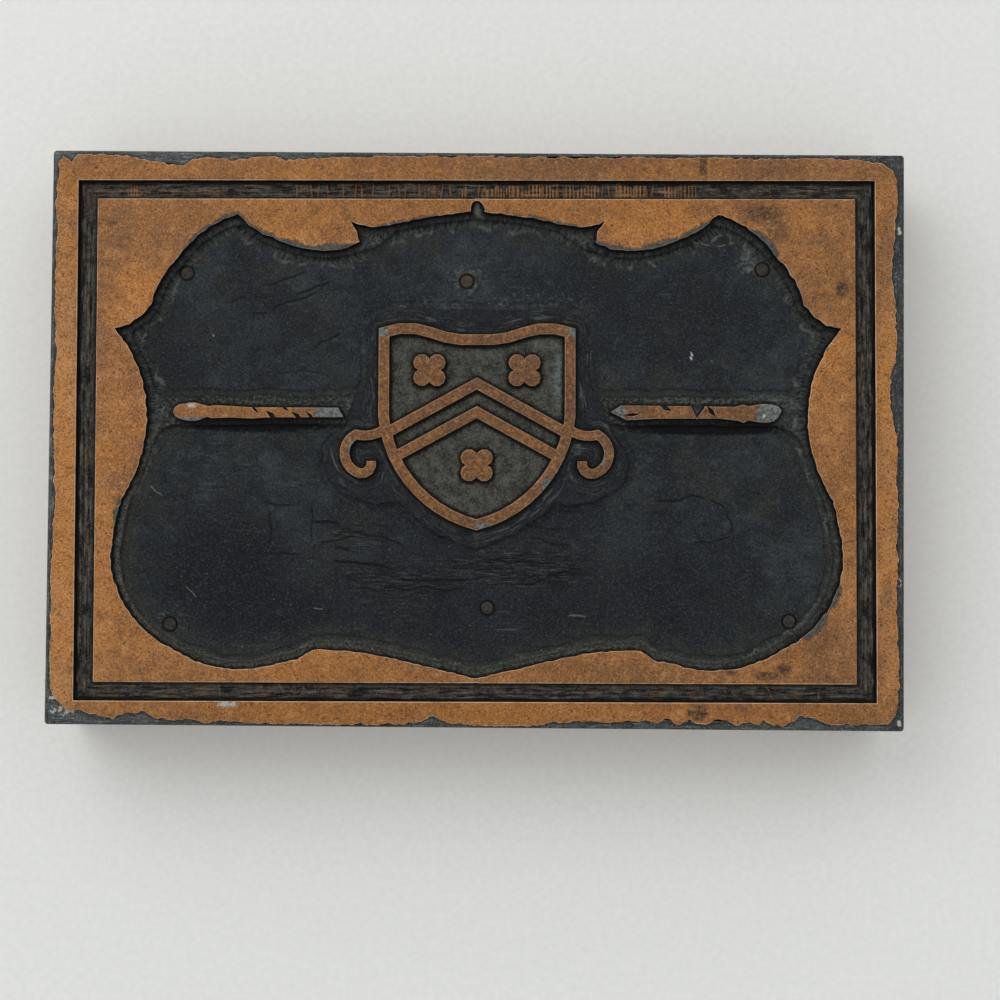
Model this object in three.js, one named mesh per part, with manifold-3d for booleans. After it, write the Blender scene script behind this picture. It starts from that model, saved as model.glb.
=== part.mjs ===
// Letterpress printing block: a copper-faced electrotype plate backed with lead alloy
// and nailed onto a hardwood mount that brings its face to type height.
// +X runs along the long side, +Y to the top edge of the print, +Z out of the printing face.
import * as THREE from "three";
import { mergeVertices } from "three/addons/utils/BufferGeometryUtils.js";
import Module from "manifold-3d";

const wasm = await Module();
wasm.setup();

// Block sizes, millimetres
const blockLength = 152;
const blockWidth = 102.4;
const typeHeight = 23.32;
const plateThickness = 3.92;
const plateSetback = 0.05;
const plateCornerRadius = 0.6;
const plateEdgeRounding = 0.3;
const woodEdgeChamfer = 0.3;

// Copper skin, the gap that the solder leaves behind its walls, and how deep the foot of a
// raised form is sunk into the sheet that carries it
const copperThickness = 0.3;
const bondGap = 0.05;
const rootDepth = 0.1;

// Depths below the printing face
const fieldDepth = 1.15;
const poolDepth = 1.8;
const troughDepth = 0.22;
const channelDepth = 1.1;

// Slope of each wall, as the distance that its foot stands off its top edge
const wallSlopeWidth = 0.4;
const poolSlopeWidth = 0.3;
const troughSlopeWidth = 0.325;
const channelSlopeWidth = 0.3;
const cutterLineSlopeWidth = 0.1;
const reliefSlopeWidth = 0.2;

// The printed design was cut a little askew on the plate: its turn in degrees, and how far the
// border and the field inside it lie off the middle of the plate
const designTurn = 0.28;
const borderShiftX = -0.1;
const borderShiftY = -0.22;
const fieldShiftX = 0.2;
const fieldShiftY = -0.05;

// Border channel round the panel, its cutter lines and the chatter ribs on its floor
const channelEndMargin = 4.95;
const channelSideMargin = 4.8;
const channelEndWidth = 3.6;
const channelSideWidth = 3.4;
const cutterLineWidth = 0.4;
const cutterLineDepth = 0.12;
const cutterLineSpacing = 1.0;
const ribWidth = 0.3;
const ribHeight = 0.25;
const ribPitch = 2;
const ribRunLength = 71;
const ribRunOffset = 3.5;
const ribShiftShare = 0.3;
const ribSkew = 0.12;

// Cartouche: the cleared opening in the panel. Its lobes and its lower tip keep these margins
// to the channel.
const lobeMargin = 2.5;
const tipMargin = 0.55;
const crownTabWidth = 2.5;
const crownTabHeight = 1.8;
const troughWidth = 1.3;

// Ornament in the middle of the field, drawn with strokes of one width
const crestHalfWidth = 18;
const crestHalfHeight = 18.2;
const crestCentreY = 2.6;
const strokeWidth = 1.85;
const scrollStrokeWidth = 1.665;
const rosetteReach = 3.4;
const rosettePetalRadius = 1.5;
const rosetteEyeRadius = 1.2;

// Ornamental bars left and right of the crest
const barWidth = 3;
const leftBarCentreY = 4.7;
const rightBarCentreY = 4.85;
const barOuterMargin = 4.9;
const barInnerMargin = 2.1;
const barNickDepth = 0.6;

// Worn outer edge of the copper: depths are shares of this margin
const wornMargin = 1;

// Brads that hold the plate down
const nailHeadRadius = 1.25;
const nailHeadThickness = 0.55;
const nailHeadDome = 0.22;
const nailHeadProud = 0.2;
const nailNeckLength = 0.5;
const nailShankRadius = 0.7;
const nailNeckRadius = 0.875;
const nailLength = 14;
const nailPointLength = 1.8;
const nailClearance = 0.06;
const nailSides = 10;
const petalFineness = 5;

// Fineness of curves, and the overrun of a cutter past the face it opens
const arcStep = 2.4;
const fineStep = 1;
const scrollStep = 0.7;
const weldDistance = 1e-4;
const overrun = 1;

// Levels
const woodTop = typeHeight - plateThickness;
const leadTop = typeHeight - copperThickness;
const fieldLevel = typeHeight - fieldDepth;
const poolLevel = typeHeight - poolDepth;
const troughLevel = poolLevel - troughDepth;
const channelLevel = typeHeight - channelDepth;
const channelHalfLength = blockLength / 2 - channelEndMargin;
const channelHalfWidth = blockWidth / 2 - channelSideMargin;
const skinAndGap = copperThickness + bondGap;
const panelHalfLength = channelHalfLength - channelEndWidth;
const panelHalfWidth = channelHalfWidth - channelSideWidth;
const cartoucheHalfLength = panelHalfLength - lobeMargin;
const cartoucheHalfWidth = panelHalfWidth - tipMargin;

// Outlines. Each row is x share, y share and the bulge to the left of travel as a share of the
// chord up to the next row; they run clockwise over the right half, from the top to the bottom.
const cartoucheShares = [
  [0, 0.958, 0.02],
  [0.2385, 0.9, -0.1],
  [0.3485, 0.917, -0.1],
  [0.325, 0.8255, -0.02],
  [0.3746, 0.796, -0.075],
  [0.5505, 0.838, -0.08],
  [0.6575, 0.946, 0.09],
  [0.821, 0.764, 0.07],
  [0.896, 0.5637, -0.12],
  [0.9954, 0.4634, -0.075],
  [0.9075, 0.17, -0.09],
  [0.9725, -0.257, 0.02],
  [1, -0.4835, 0.145],
  [0.8333, -0.875, 0.12],
  [0.529, -0.934, 0.1],
  [0.4465, -0.881, -0.03],
  [0.237, -0.914, 0],
  [0, -1, 0],
];
const upperPoolRimShares = [
  [0, 0.931, 0.02],
  [0.226, 0.878, -0.05],
  [0.306, 0.8, -0.02],
  [0.378, 0.77, -0.07],
  [0.55, 0.81, -0.08],
  [0.648, 0.905, 0.1],
  [0.804, 0.75, 0.07],
  [0.878, 0.552, -0.08],
  [0.944, 0.46, 0.2],
  [0.94, 0.395, -0.04],
  [0.887, 0.212, 0.15],
  [0.855, 0.176, 0.02],
];
const lowerPoolRimShares = [
  [0.82, 0.058, 0.17],
  [0.893, -0.03, -0.02],
  [0.95, -0.26, 0.02],
  [0.977, -0.4825, 0.145],
  [0.82, -0.857, 0.12],
  [0.533, -0.908, 0.08],
  [0.446, -0.854, -0.04],
  [0.237, -0.888, 0],
  [0, -0.97, 0],
];
// Edge of the island that carries the crest, as shares of the crest's half size
const islandTopShares = [
  [0, 1.13, 0],
  [0.86, 1.13, 0.13],
  [1.11, 0.95, -0.03],
  [1.09, 0.42, -0.09],
  [1.2, 0.275, 0],
];
const islandFootShares = [
  [1.3, 0, -0.06],
  [1.45, -0.24, 0.22],
  [1.26, -0.7, 0.08],
  [0.76, -0.75, 0.08],
  [0, -1.2, 0],
];
// Centre lines of the crest's strokes
const shieldShares = [
  [0, 0.83, -0.06],
  [0.46, 0.9, 0.09],
  [0.92, 0.9, 0],
  [0.92, 0.08, 0.16],
  [0, -0.98, 0],
];
const upperChevronShares = [
  [0, 0.4, 0],
  [0.92, -0.1, 0],
];
const lowerChevronShares = [
  [0, 0.12, 0],
  [0.83, -0.33, 0],
];
const scrollShares = [
  [0.9, -0.04, -0.12],
  [1.19, -0.1, 0.3],
  [1.2, -0.46, 0.36],
  [1.04, -0.36, 0],
];
// Where the web meets the island and the cartouche's waist, between which a bar lies
const webShares = { island: 1.2, waist: 0.9075 };
const barInnerX = webShares.island * crestHalfWidth + barInnerMargin;
const barOuterX = webShares.waist * cartoucheHalfLength - barOuterMargin;
const barLength = barOuterX - barInnerX;
const barCentreX = (barOuterX + barInnerX) / 2;
const upperRosetteShares = [0.47, 0.53];
const lowerRosetteShares = [0, -0.4];
// Bars as shares of their length and width: the left one is a club, the right one a stylus
const leftBarShares = [
  [-0.5, 0.02, 0.2],
  [-0.43, 0.48, 0.1],
  [-0.34, 0.47, 0],
  [-0.29, 0.34, 0],
  [-0.25, 0.4, 0],
  [-0.04, 0.28, 0],
  [0.47, 0.27, 0],
  [0.5, -0.29, 0],
  [0.05, -0.31, 0],
  [-0.04, -0.38, 0],
  [-0.17, -0.31, 0],
  [-0.27, -0.37, 0],
  [-0.3, -0.28, 0],
  [-0.34, -0.46, 0.08],
  [-0.46, -0.4, 0.15],
];
const rightBarShares = [
  [-0.5, 0, 0],
  [-0.438, 0.38, 0],
  [0.231, 0.32, 0],
  [0.277, 0.45, 0],
  [0.306, 0.34, 0],
  [0.372, 0.47, 0.04],
  [0.455, 0.44, 0.12],
  [0.5, 0.12, 0.1],
  [0.455, -0.53, 0.06],
  [0.372, -0.59, 0],
  [0.306, -0.47, 0],
  [0.277, -0.62, 0],
  [0.248, -0.5, 0],
  [0.14, -0.37, 0],
  [-0.23, -0.38, 0],
  [-0.405, -0.49, 0],
];
// Nicks of the graver in a bar: each runs from x, y to x, y and has a width, as shares of the bar
const leftNickShares = [
  [-0.045, 0.42, 0.004, -0.08, 0.16],
  [0.045, 0.08, 0.11, -0.42, 0.3],
  [0.135, 0.42, 0.178, 0.08, 0.2],
  [0.195, 0.02, 0.26, -0.42, 0.24],
  [0.28, 0.02, 0.33, -0.42, 0.2],
];
const rightNickShares = [
  [-0.42, -0.2, -0.325, -0.12, 0.2],
  [-0.215, 0.45, -0.142, 0.06, 0.3],
  [0.017, 0.96, 0.006, -0.34, 0.8],
  [0.066, 0.36, 0.114, -0.28, 0.3],
];
// Where the copper has worn back from the plate's edges: share along the side, share of margin
const wornTopShares = [
  [-0.975, 1], [-0.955, 2], [-0.94, 0.7], [-0.87, 0.7], [-0.82, 0.9], [-0.78, 1.75],
  [-0.74, 2.2], [-0.69, 2.5], [-0.67, 1.4], [-0.63, 1.1], [-0.58, 1.75], [-0.53, 1.1],
  [-0.48, 0.9], [-0.45, 1.6],
  [-0.41, 1.4], [-0.33, 0.9], [-0.14, 0.75], [0.03, 0.6], [0.11, 0.85], [0.26, 0.65],
  [0.4, 0.8], [0.52, 0.65], [0.66, 0.75], [0.78, 0.7], [0.89, 0.9],
  [0.947, 1.4], [0.971, 2.9],
];
const wornRightShares = [
  [0.907, 1.3], [0.848, 1.2], [0.76, 1.4], [0.64, 2.05], [0.55, 2.2], [0.48, 1.6], [0.36, 1.4], [0.28, 1.5],
  [0.24, 2.25], [0.18, 2.5], [0.12, 2.5], [0.06, 1.75], [0, 1.1], [-0.1, 1.4], [-0.2, 1],
  [-0.32, 1.35], [-0.44, 1.1], [-0.58, 1.3], [-0.7, 1.05], [-0.84, 0.9], [-0.9, 1.1],
];
const wornBottomShares = [
  [0.98, 2.6], [0.96, 1.3], [0.93, 1.2], [0.86, 1.1], [0.82, 1.2], [0.79, 2.2],
  [0.76, 2.4], [0.74, 1.1], [0.7, 0.6],
  [0.675, 1.6], [0.66, 0.9], [0.64, 1.6], [0.61, 0.9], [0.57, 1.4], [0.54, 0.9], [0.5, 1.3],
  [0.48, 0.8], [0.45, 1.4], [0.42, 0.9], [0.4, 1.5], [0.32, 1.1], [0.26, 1.3], [0.18, 1],
  [0.15, 0.45], [0.02, 0.4], [-0.05, 0.8], [-0.1, 1.9], [-0.13, 0.8], [-0.18, 0.45],
  [-0.4, 0.4], [-0.53, 0.45], [-0.58, 0.8], [-0.63, 0.5], [-0.66, 1.2], [-0.7, 0.9],
  [-0.74, 1.3], [-0.77, 2.2], [-0.81, 2.1], [-0.84, 1], [-0.87, 1.5], [-0.9, 2], [-0.93, 2.5],
];
const wornLeftShares = [
  [-0.955, 4.5], [-0.93, 2.9], [-0.894, 1.4], [-0.85, 0.9], [-0.5, 0.8],
  [-0.4, 0.85], [-0.3, 0.8], [-0.24, 1.35], [-0.12, 1.05], [0, 0.85], [0.12, 0.7], [0.3, 1.05], [0.44, 0.7],
  [0.58, 0.7], [0.74, 1.05], [0.8, 0.7], [0.9, 0.9], [0.96, 1.2],
];
const nailShares = {
  nail_top_left: [-0.684, 0.575],
  nail_top_middle: [-0.024, 0.5525],
  nail_top_right: [0.67, 0.6],
  nail_bottom_left: [-0.713, -0.651],
  nail_bottom_middle: [0.03, -0.586],
  nail_bottom_right: [0.735, -0.625],
};

// A manifold-3d solid made from a three.js geometry.
function solid(geometry) {
  const loose = geometry.index ? geometry.toNonIndexed() : geometry;
  const bare = new THREE.BufferGeometry();
  bare.setAttribute("position", loose.getAttribute("position"));
  const merged = mergeVertices(bare, weldDistance);
  const mesh = new wasm.Mesh({
    numProp: 3,
    vertProperties: merged.attributes.position.array,
    triVerts: new Uint32Array(merged.index.array),
  });
  return new wasm.Manifold(mesh);
}

// A named mesh made from a solid, with its own material.
function node(name, body, look) {
  const mesh = body.getMesh();
  const geometry = new THREE.BufferGeometry();
  geometry.setAttribute("position", new THREE.BufferAttribute(mesh.vertProperties, 3));
  geometry.setIndex(new THREE.BufferAttribute(mesh.triVerts, 1));
  const flat = geometry.toNonIndexed();
  flat.computeVertexNormals();
  const made = new THREE.Mesh(flat, new THREE.MeshStandardMaterial(look));
  made.name = name;
  return made;
}

// The points of one arc, its end left out; the bulge is to the left of travel.
function arcPoints(start, end, bulgeShare, step) {
  const chord = start.distanceTo(end);
  const count = Math.max(1, Math.round(chord / step));
  if (bulgeShare === 0) return [start.clone()];
  const rise = Math.abs(bulgeShare) * chord;
  const radius = (chord * chord / 4 + rise * rise) / (2 * rise);
  const along = end.clone().sub(start).normalize();
  const left = new THREE.Vector2(-along.y, along.x).multiplyScalar(Math.sign(bulgeShare));
  const centre = start.clone().add(end).multiplyScalar(0.5).addScaledVector(left, rise - radius);
  const from = start.clone().sub(centre).angle();
  const to = end.clone().sub(centre).angle();
  const arc = new THREE.EllipseCurve(
    centre.x, centre.y, radius, radius, from, to, bulgeShare > 0);
  return arc.getPoints(Math.max(2, count)).slice(0, -1);
}

// Points through rows of shares; a row's third share bends the stretch that leaves it.
function traced(rows, sizeX, sizeY, offsetX, offsetY, step) {
  const spots = rows.map(([x, y]) => new THREE.Vector2(offsetX + x * sizeX, offsetY + y * sizeY));
  const points = [];
  for (let i = 0; i + 1 < rows.length; i++)
    points.push(...arcPoints(spots[i], spots[i + 1], rows[i][2], step));
  points.push(spots[rows.length - 1]);
  return points;
}

// The same for a loop: its last row is joined to its first.
function tracedLoop(rows, sizeX, sizeY, offsetX, offsetY, step) {
  return traced([...rows, rows[0]], sizeX, sizeY, offsetX, offsetY, step).slice(0, -1);
}

// A right half from top to bottom, closed by its mirror image.
function mirrored(half) {
  const back = half.slice(1, -1).map((p) => new THREE.Vector2(-p.x, p.y));
  return [...half, ...back.reverse()];
}

function flipped(points) {
  return points.map((p) => new THREE.Vector2(-p.x, p.y));
}

// Points of the printed design, laid askew on the plate and shifted off its middle.
function laid(points, shiftX, shiftY) {
  const middle = new THREE.Vector2();
  const shift = new THREE.Vector2(shiftX, shiftY);
  const turn = THREE.MathUtils.degToRad(designTurn);
  return points.map((p) => p.clone().rotateAround(middle, turn).add(shift));
}

function laidInBorder(points) {
  return laid(points, borderShiftX, borderShiftY);
}

function laidInField(points) {
  return laid(points, fieldShiftX, fieldShiftY);
}

// Pushes a clockwise loop outwards by a distance, or inwards where it is negative.
function grown(points, distance) {
  return points.map((p, i) => {
    const before = points[(i + points.length - 1) % points.length];
    const after = points[(i + 1) % points.length];
    const a = p.clone().sub(before).normalize();
    const b = after.clone().sub(p).normalize();
    const normalA = new THREE.Vector2(-a.y, a.x);
    const normalB = new THREE.Vector2(-b.y, b.x);
    const middle = normalA.clone().add(normalB).normalize();
    const reach = 1 / Math.max(0.5, middle.dot(normalA));
    return p.clone().addScaledVector(middle, distance * reach);
  });
}

function area(points) {
  return THREE.ShapeUtils.area(points);
}

// A shape whose outline runs one way whichever way its points ran.
function shapeOf(points, holes = []) {
  const shape = new THREE.Shape(area(points) < 0 ? [...points].reverse() : points);
  for (const hole of holes) shape.holes.push(new THREE.Path(hole));
  return shape;
}

// An upright prism between two levels.
function prism(shape, low, high) {
  const geometry = new THREE.ExtrudeGeometry(shape, { depth: high - low, bevelEnabled: false });
  return solid(geometry.translate(0, 0, low));
}

// A cutter whose outline is full at the given level and closes in by the slope at its floor.
function taperedCutter(shape, floor, level, slope, growth = 0) {
  const geometry = new THREE.ExtrudeGeometry(shape, {
    depth: overrun,
    bevelThickness: level - floor,
    bevelSize: slope,
    bevelOffset: growth - slope,
    bevelSegments: 1,
  });
  const top = level + overrun;
  const above = prism(slab(blockLength, blockWidth), top, top + overrun + level - floor);
  return solid(geometry.translate(0, 0, level)).subtract(above);
}

// A raised form, full size less the inset at its top and wider by the slope at its foot,
// with a straight root below.
function taperedRelief(shape, foot, top, slope, inset, root) {
  const geometry = new THREE.ExtrudeGeometry(shape, {
    depth: overrun,
    bevelThickness: top - foot,
    bevelSize: slope,
    bevelOffset: -inset,
    bevelSegments: 1,
  });
  const raised = solid(geometry.translate(0, 0, foot - overrun));
  return raised.subtract(
    prism(slab(blockLength, blockWidth), foot - typeHeight, foot - root));
}

// A rectangle about the middle of the block.
function slab(length, width) {
  const x = length / 2;
  const y = width / 2;
  return new THREE.Shape([
    new THREE.Vector2(-x, -y),
    new THREE.Vector2(x, -y),
    new THREE.Vector2(x, y),
    new THREE.Vector2(-x, y),
  ]);
}

function rectangle(halfLength, halfWidth) {
  return [
    new THREE.Vector2(-halfLength, halfWidth),
    new THREE.Vector2(halfLength, halfWidth),
    new THREE.Vector2(halfLength, -halfWidth),
    new THREE.Vector2(-halfLength, -halfWidth),
  ];
}

// The frame between two rectangles, for the border channel and the lines in its floor.
function frameShape(halfLength, halfWidth, endWidth, sideWidth) {
  const inner = rectangle(halfLength - endWidth, halfWidth - sideWidth);
  return shapeOf(laidInBorder(rectangle(halfLength, halfWidth)), [laidInBorder(inner)]);
}

// The outline of a line of one width drawn along points that run from end to end.
function strokeShape(points, width) {
  const half = width / 2;
  const sides = points.map((p, i) => {
    const before = points[Math.max(0, i - 1)];
    const after = points[Math.min(points.length - 1, i + 1)];
    const inwards = i > 0 ? p.clone().sub(before).normalize() : after.clone().sub(p).normalize();
    const onwards = i + 1 < points.length ? after.clone().sub(p).normalize() : inwards;
    const middle = new THREE.Vector2(-inwards.y - onwards.y, inwards.x + onwards.x).normalize();
    const reach = half / Math.max(0.5, middle.dot(new THREE.Vector2(-inwards.y, inwards.x)));
    return [p.clone().addScaledVector(middle, reach), p.clone().addScaledVector(middle, -reach)];
  });
  return shapeOf([...sides.map((s) => s[0]), ...sides.map((s) => s[1]).reverse()]);
}

function union(parts) {
  return parts.reduce((whole, part) => whole.add(part));
}

// The outline of the cartouche, the two routed pools and the island between them.
const cartouche = laidInField(mirrored(
  traced(cartoucheShares, cartoucheHalfLength, cartoucheHalfWidth, 0, 0, arcStep)));
const islandTop = traced(
  islandTopShares, crestHalfWidth, crestHalfHeight, 0, crestCentreY, arcStep);
const islandFoot = traced(
  islandFootShares, crestHalfWidth, crestHalfHeight, 0, crestCentreY, arcStep);
const island = laidInField(mirrored([...islandTop, ...islandFoot]));
const upperRim = traced(
  upperPoolRimShares, cartoucheHalfLength, cartoucheHalfWidth, 0, 0, arcStep);
const lowerRim = traced(
  lowerPoolRimShares, cartoucheHalfLength, cartoucheHalfWidth, 0, 0, arcStep);
const upperPool = laidInField([
  ...upperRim,
  ...[...islandTop].reverse(),
  ...flipped(islandTop.slice(1)),
  ...flipped(upperRim.slice(1)).reverse(),
]);
const lowerPool = laidInField([
  ...lowerRim,
  ...flipped(lowerRim.slice(0, -1)).reverse(),
  ...flipped(islandFoot),
  ...[...islandFoot].reverse().slice(1),
]);

// The crown notch is a round-topped tab that runs up from the top of the cartouche.
function crownTab() {
  const half = crownTabWidth / 2;
  const top = cartoucheHalfWidth * cartoucheShares[0][1] + crownTabHeight - half;
  const shape = new THREE.Shape();
  shape.moveTo(-half, cartoucheHalfWidth * upperPoolRimShares[0][1]);
  shape.lineTo(half, cartoucheHalfWidth * upperPoolRimShares[0][1]);
  shape.lineTo(half, top);
  shape.absarc(0, top, half, 0, Math.PI, false);
  return shapeOf(laidInField(shape.getPoints(petalFineness)));
}

// The crest's strokes, each as a shape.
function crestShapes() {
  const shares = [crestHalfWidth, crestHalfHeight, 0, crestCentreY];
  const half = traced(shieldShares, ...shares, arcStep);
  const centreLine = mirrored(half);
  const outer = grown(centreLine, strokeWidth / 2);
  const inner = grown(centreLine, -strokeWidth / 2);
  const shapes = [shapeOf(laidInField(outer), [laidInField(inner)])];
  for (const rows of [upperChevronShares, lowerChevronShares]) {
    const right = traced(rows, ...shares, arcStep);
    const whole = [...flipped(right.slice(1)).reverse(), ...right];
    shapes.push(strokeShape(laidInField(whole), strokeWidth));
  }
  const scroll = traced(scrollShares, ...shares, scrollStep);
  shapes.push(strokeShape(laidInField(scroll), scrollStrokeWidth));
  shapes.push(strokeShape(laidInField(flipped(scroll)), scrollStrokeWidth));
  return shapes;
}

// A four-petalled flower: four round petals joined by a round eye.
function rosette(x, y, foot, top, inset, root) {
  const petals = [];
  for (let i = 0; i < 4; i++) {
    const angle = (i + 0.5) * Math.PI / 2;
    const reach = rosetteReach - rosettePetalRadius;
    petals.push([x + reach * Math.cos(angle), y + reach * Math.sin(angle), rosettePetalRadius]);
  }
  petals.push([x, y, rosetteEyeRadius]);
  return union(petals.map(([px, py, radius]) => {
    const disc = new THREE.Shape();
    disc.absarc(px, py, radius, 0, Math.PI * 2, false);
    const outline = disc.getPoints(petalFineness).slice(0, -1);
    return taperedRelief(shapeOf(outline), foot, top, reliefSlopeWidth, inset, root);
  }));
}

// All that stands up on the island, shrunk by the inset for the lead inside the copper.
function crestRelief(foot, top, inset, root) {
  const parts = crestShapes().map(
    (shape) => taperedRelief(shape, foot, top, reliefSlopeWidth, inset, root));
  const flowers = [
    [upperRosetteShares[0], upperRosetteShares[1]],
    [-upperRosetteShares[0], upperRosetteShares[1]],
    [lowerRosetteShares[0], lowerRosetteShares[1]],
  ];
  for (const [x, y] of flowers) {
    const [centre] = laidInField([
      new THREE.Vector2(x * crestHalfWidth, crestCentreY + y * crestHalfHeight)]);
    parts.push(rosette(centre.x, centre.y, foot, top, inset, root));
  }
  return union(parts);
}

// The pointed outline of one nick in a bar.
function nickOutline([startX, startY, endX, endY, widthShare], centreX, centreY) {
  const start = new THREE.Vector2(centreX + startX * barLength, centreY + startY * barWidth);
  const end = new THREE.Vector2(centreX + endX * barLength, centreY + endY * barWidth);
  const along = end.clone().sub(start).normalize();
  const aside = new THREE.Vector2(-along.y, along.x).multiplyScalar(widthShare * barWidth / 2);
  const middle = start.clone().add(end).multiplyScalar(0.5);
  return laidInField([start, middle.clone().add(aside), end, middle.clone().sub(aside)]);
}

// A bar with nicks in its top.
function bar(rows, nickShares, centreX, centreY, top, inset, root) {
  const outline = laidInField(tracedLoop(rows, barLength, barWidth, centreX, centreY, fineStep));
  let body = taperedRelief(
    shapeOf(outline), fieldLevel, top, reliefSlopeWidth, inset, root);
  for (const nickShare of nickShares) {
    const nick = grown(nickOutline(nickShare, centreX, centreY), inset);
    body = body.subtract(prism(shapeOf(nick), top - barNickDepth, top + overrun));
  }
  return body;
}

// The worn outer edge of the copper, clockwise from the top left corner.
function wornEdge() {
  const x = blockLength / 2;
  const y = blockWidth / 2;
  const points = [];
  for (const [along, depth] of wornTopShares)
    points.push(new THREE.Vector2(along * x, y - depth * wornMargin));
  for (const [along, depth] of wornRightShares)
    points.push(new THREE.Vector2(x - depth * wornMargin, along * y));
  for (const [along, depth] of wornBottomShares)
    points.push(new THREE.Vector2(along * x, depth * wornMargin - y));
  for (const [along, depth] of wornLeftShares)
    points.push(new THREE.Vector2(depth * wornMargin - x, along * y));
  return points;
}

// The side of a brad from its point up to the underside of its head at the given level.
function shankProfile(seat, growth) {
  const point = seat + nailHeadThickness - nailLength;
  return [
    [0, point - growth],
    [nailShankRadius * 0.25 + growth, point + nailPointLength * 0.15 - growth],
    [nailShankRadius + growth, point + nailPointLength],
    [nailShankRadius + growth, seat - nailNeckLength],
    [nailNeckRadius + growth, seat],
    [nailHeadRadius + growth, seat],
  ];
}

function turned(profile, spot) {
  const points = profile.map(([r, z]) => new THREE.Vector2(r, z));
  const upright = new THREE.LatheGeometry(points, nailSides).rotateX(Math.PI / 2);
  return solid(upright.translate(spot.x, spot.y, 0));
}

function nailSolid(seat, spot) {
  return turned([
    ...shankProfile(seat, 0),
    [nailHeadRadius, seat + nailHeadThickness - nailHeadDome],
    [nailHeadRadius * 0.75, seat + nailHeadThickness - nailHeadDome * 0.3],
    [0, seat + nailHeadThickness],
  ], spot);
}

// The room a brad takes in the plate and in the wood.
function nailHole(seat, spot) {
  return turned([
    ...shankProfile(seat, nailClearance),
    [nailHeadRadius + nailClearance, typeHeight + overrun],
    [0, typeHeight + overrun],
  ], spot);
}

const nailSeat = poolLevel + nailHeadProud - nailHeadThickness;
const nailSpots = Object.entries(nailShares).map(([name, [x, y]]) => ({
  name,
  x: x * blockLength / 2,
  y: y * blockWidth / 2,
}));

const leftBar = [leftBarShares, leftNickShares, -barCentreX, leftBarCentreY];
const rightBar = [rightBarShares, rightNickShares, barCentreX, rightBarCentreY];

// Hardwood mount, chamfered all round, with the brads' holes
function woodMount() {
  const shape = slab(blockLength, blockWidth);
  const geometry = new THREE.ExtrudeGeometry(shape, {
    depth: woodTop - woodEdgeChamfer * 2,
    bevelThickness: woodEdgeChamfer,
    bevelSize: woodEdgeChamfer,
    bevelOffset: -woodEdgeChamfer,
    bevelSegments: 1,
  });
  let wood = solid(geometry.translate(0, 0, woodEdgeChamfer));
  for (const spot of nailSpots)
    wood = wood.subtract(nailHole(nailSeat, spot));
  return wood;
}

// Lead alloy backing: it fills the copper from behind and is bare where the face was cleared
function backingMetal() {
  const halfLength = blockLength / 2 - plateSetback;
  const halfWidth = blockWidth / 2 - plateSetback;
  const outline = new THREE.Shape();
  const r = plateCornerRadius;
  outline.moveTo(halfLength - r, -halfWidth);
  outline.absarc(halfLength - r, r - halfWidth, r, -Math.PI / 2, 0, false);
  outline.absarc(halfLength - r, halfWidth - r, r, 0, Math.PI / 2, false);
  outline.absarc(r - halfLength, halfWidth - r, r, Math.PI / 2, Math.PI, false);
  outline.absarc(r - halfLength, r - halfWidth, r, Math.PI, Math.PI * 1.5, false);
  const plate = new THREE.ExtrudeGeometry(outline, {
    depth: leadTop - woodTop,
    bevelThickness: plateEdgeRounding,
    bevelSize: plateEdgeRounding,
    bevelOffset: -plateEdgeRounding,
    bevelSegments: 2,
    curveSegments: 4,
  });
  let lead = solid(plate.translate(0, 0, woodTop - plateEdgeRounding));
  lead = lead.subtract(prism(slab(blockLength * 2, blockWidth * 2), 0, woodTop));
  lead = lead.subtract(channelCutter(leadTop, skinAndGap, copperThickness));
  lead = lead.subtract(clearedField());
  lead = lead.subtract(
    prism(shapeOf(grown(island, bondGap)), fieldLevel - copperThickness, fieldLevel + overrun));
  lead = lead.add(
    crestRelief(fieldLevel - copperThickness, leadTop, skinAndGap, rootDepth));
  for (const place of [leftBar, rightBar])
    lead = lead.add(bar(...place, leadTop, skinAndGap, rootDepth));
  for (const spot of nailSpots)
    lead = lead.subtract(nailHole(nailSeat, spot));
  return lead;
}

// Everything that was cleared out inside the cartouche
function clearedField() {
  const rise = leadTop - fieldLevel;
  const field = taperedCutter(
    shapeOf(cartouche), fieldLevel, leadTop, wallSlopeWidth * rise / fieldDepth);
  const tab = taperedCutter(crownTab(), fieldLevel, leadTop, wallSlopeWidth * rise / fieldDepth);
  let cleared = field.add(tab);
  for (const pool of [upperPool, lowerPool]) {
    cleared = cleared.add(taperedCutter(shapeOf(pool), poolLevel, fieldLevel, poolSlopeWidth));
    const foot = grown(pool, -poolSlopeWidth);
    const trough = shapeOf(foot, [grown(foot, -troughWidth)]);
    cleared = cleared.add(
      taperedCutter(trough, troughLevel, poolLevel, troughSlopeWidth));
  }
  return cleared;
}

// The border channel, opened at a level and deepened and widened for the lead behind the copper
function channelCutter(level, growth, drop) {
  return taperedCutter(
    frameShape(channelHalfLength, channelHalfWidth, channelEndWidth, channelSideWidth),
    channelLevel - drop, level, channelSlopeWidth, growth);
}

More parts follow.
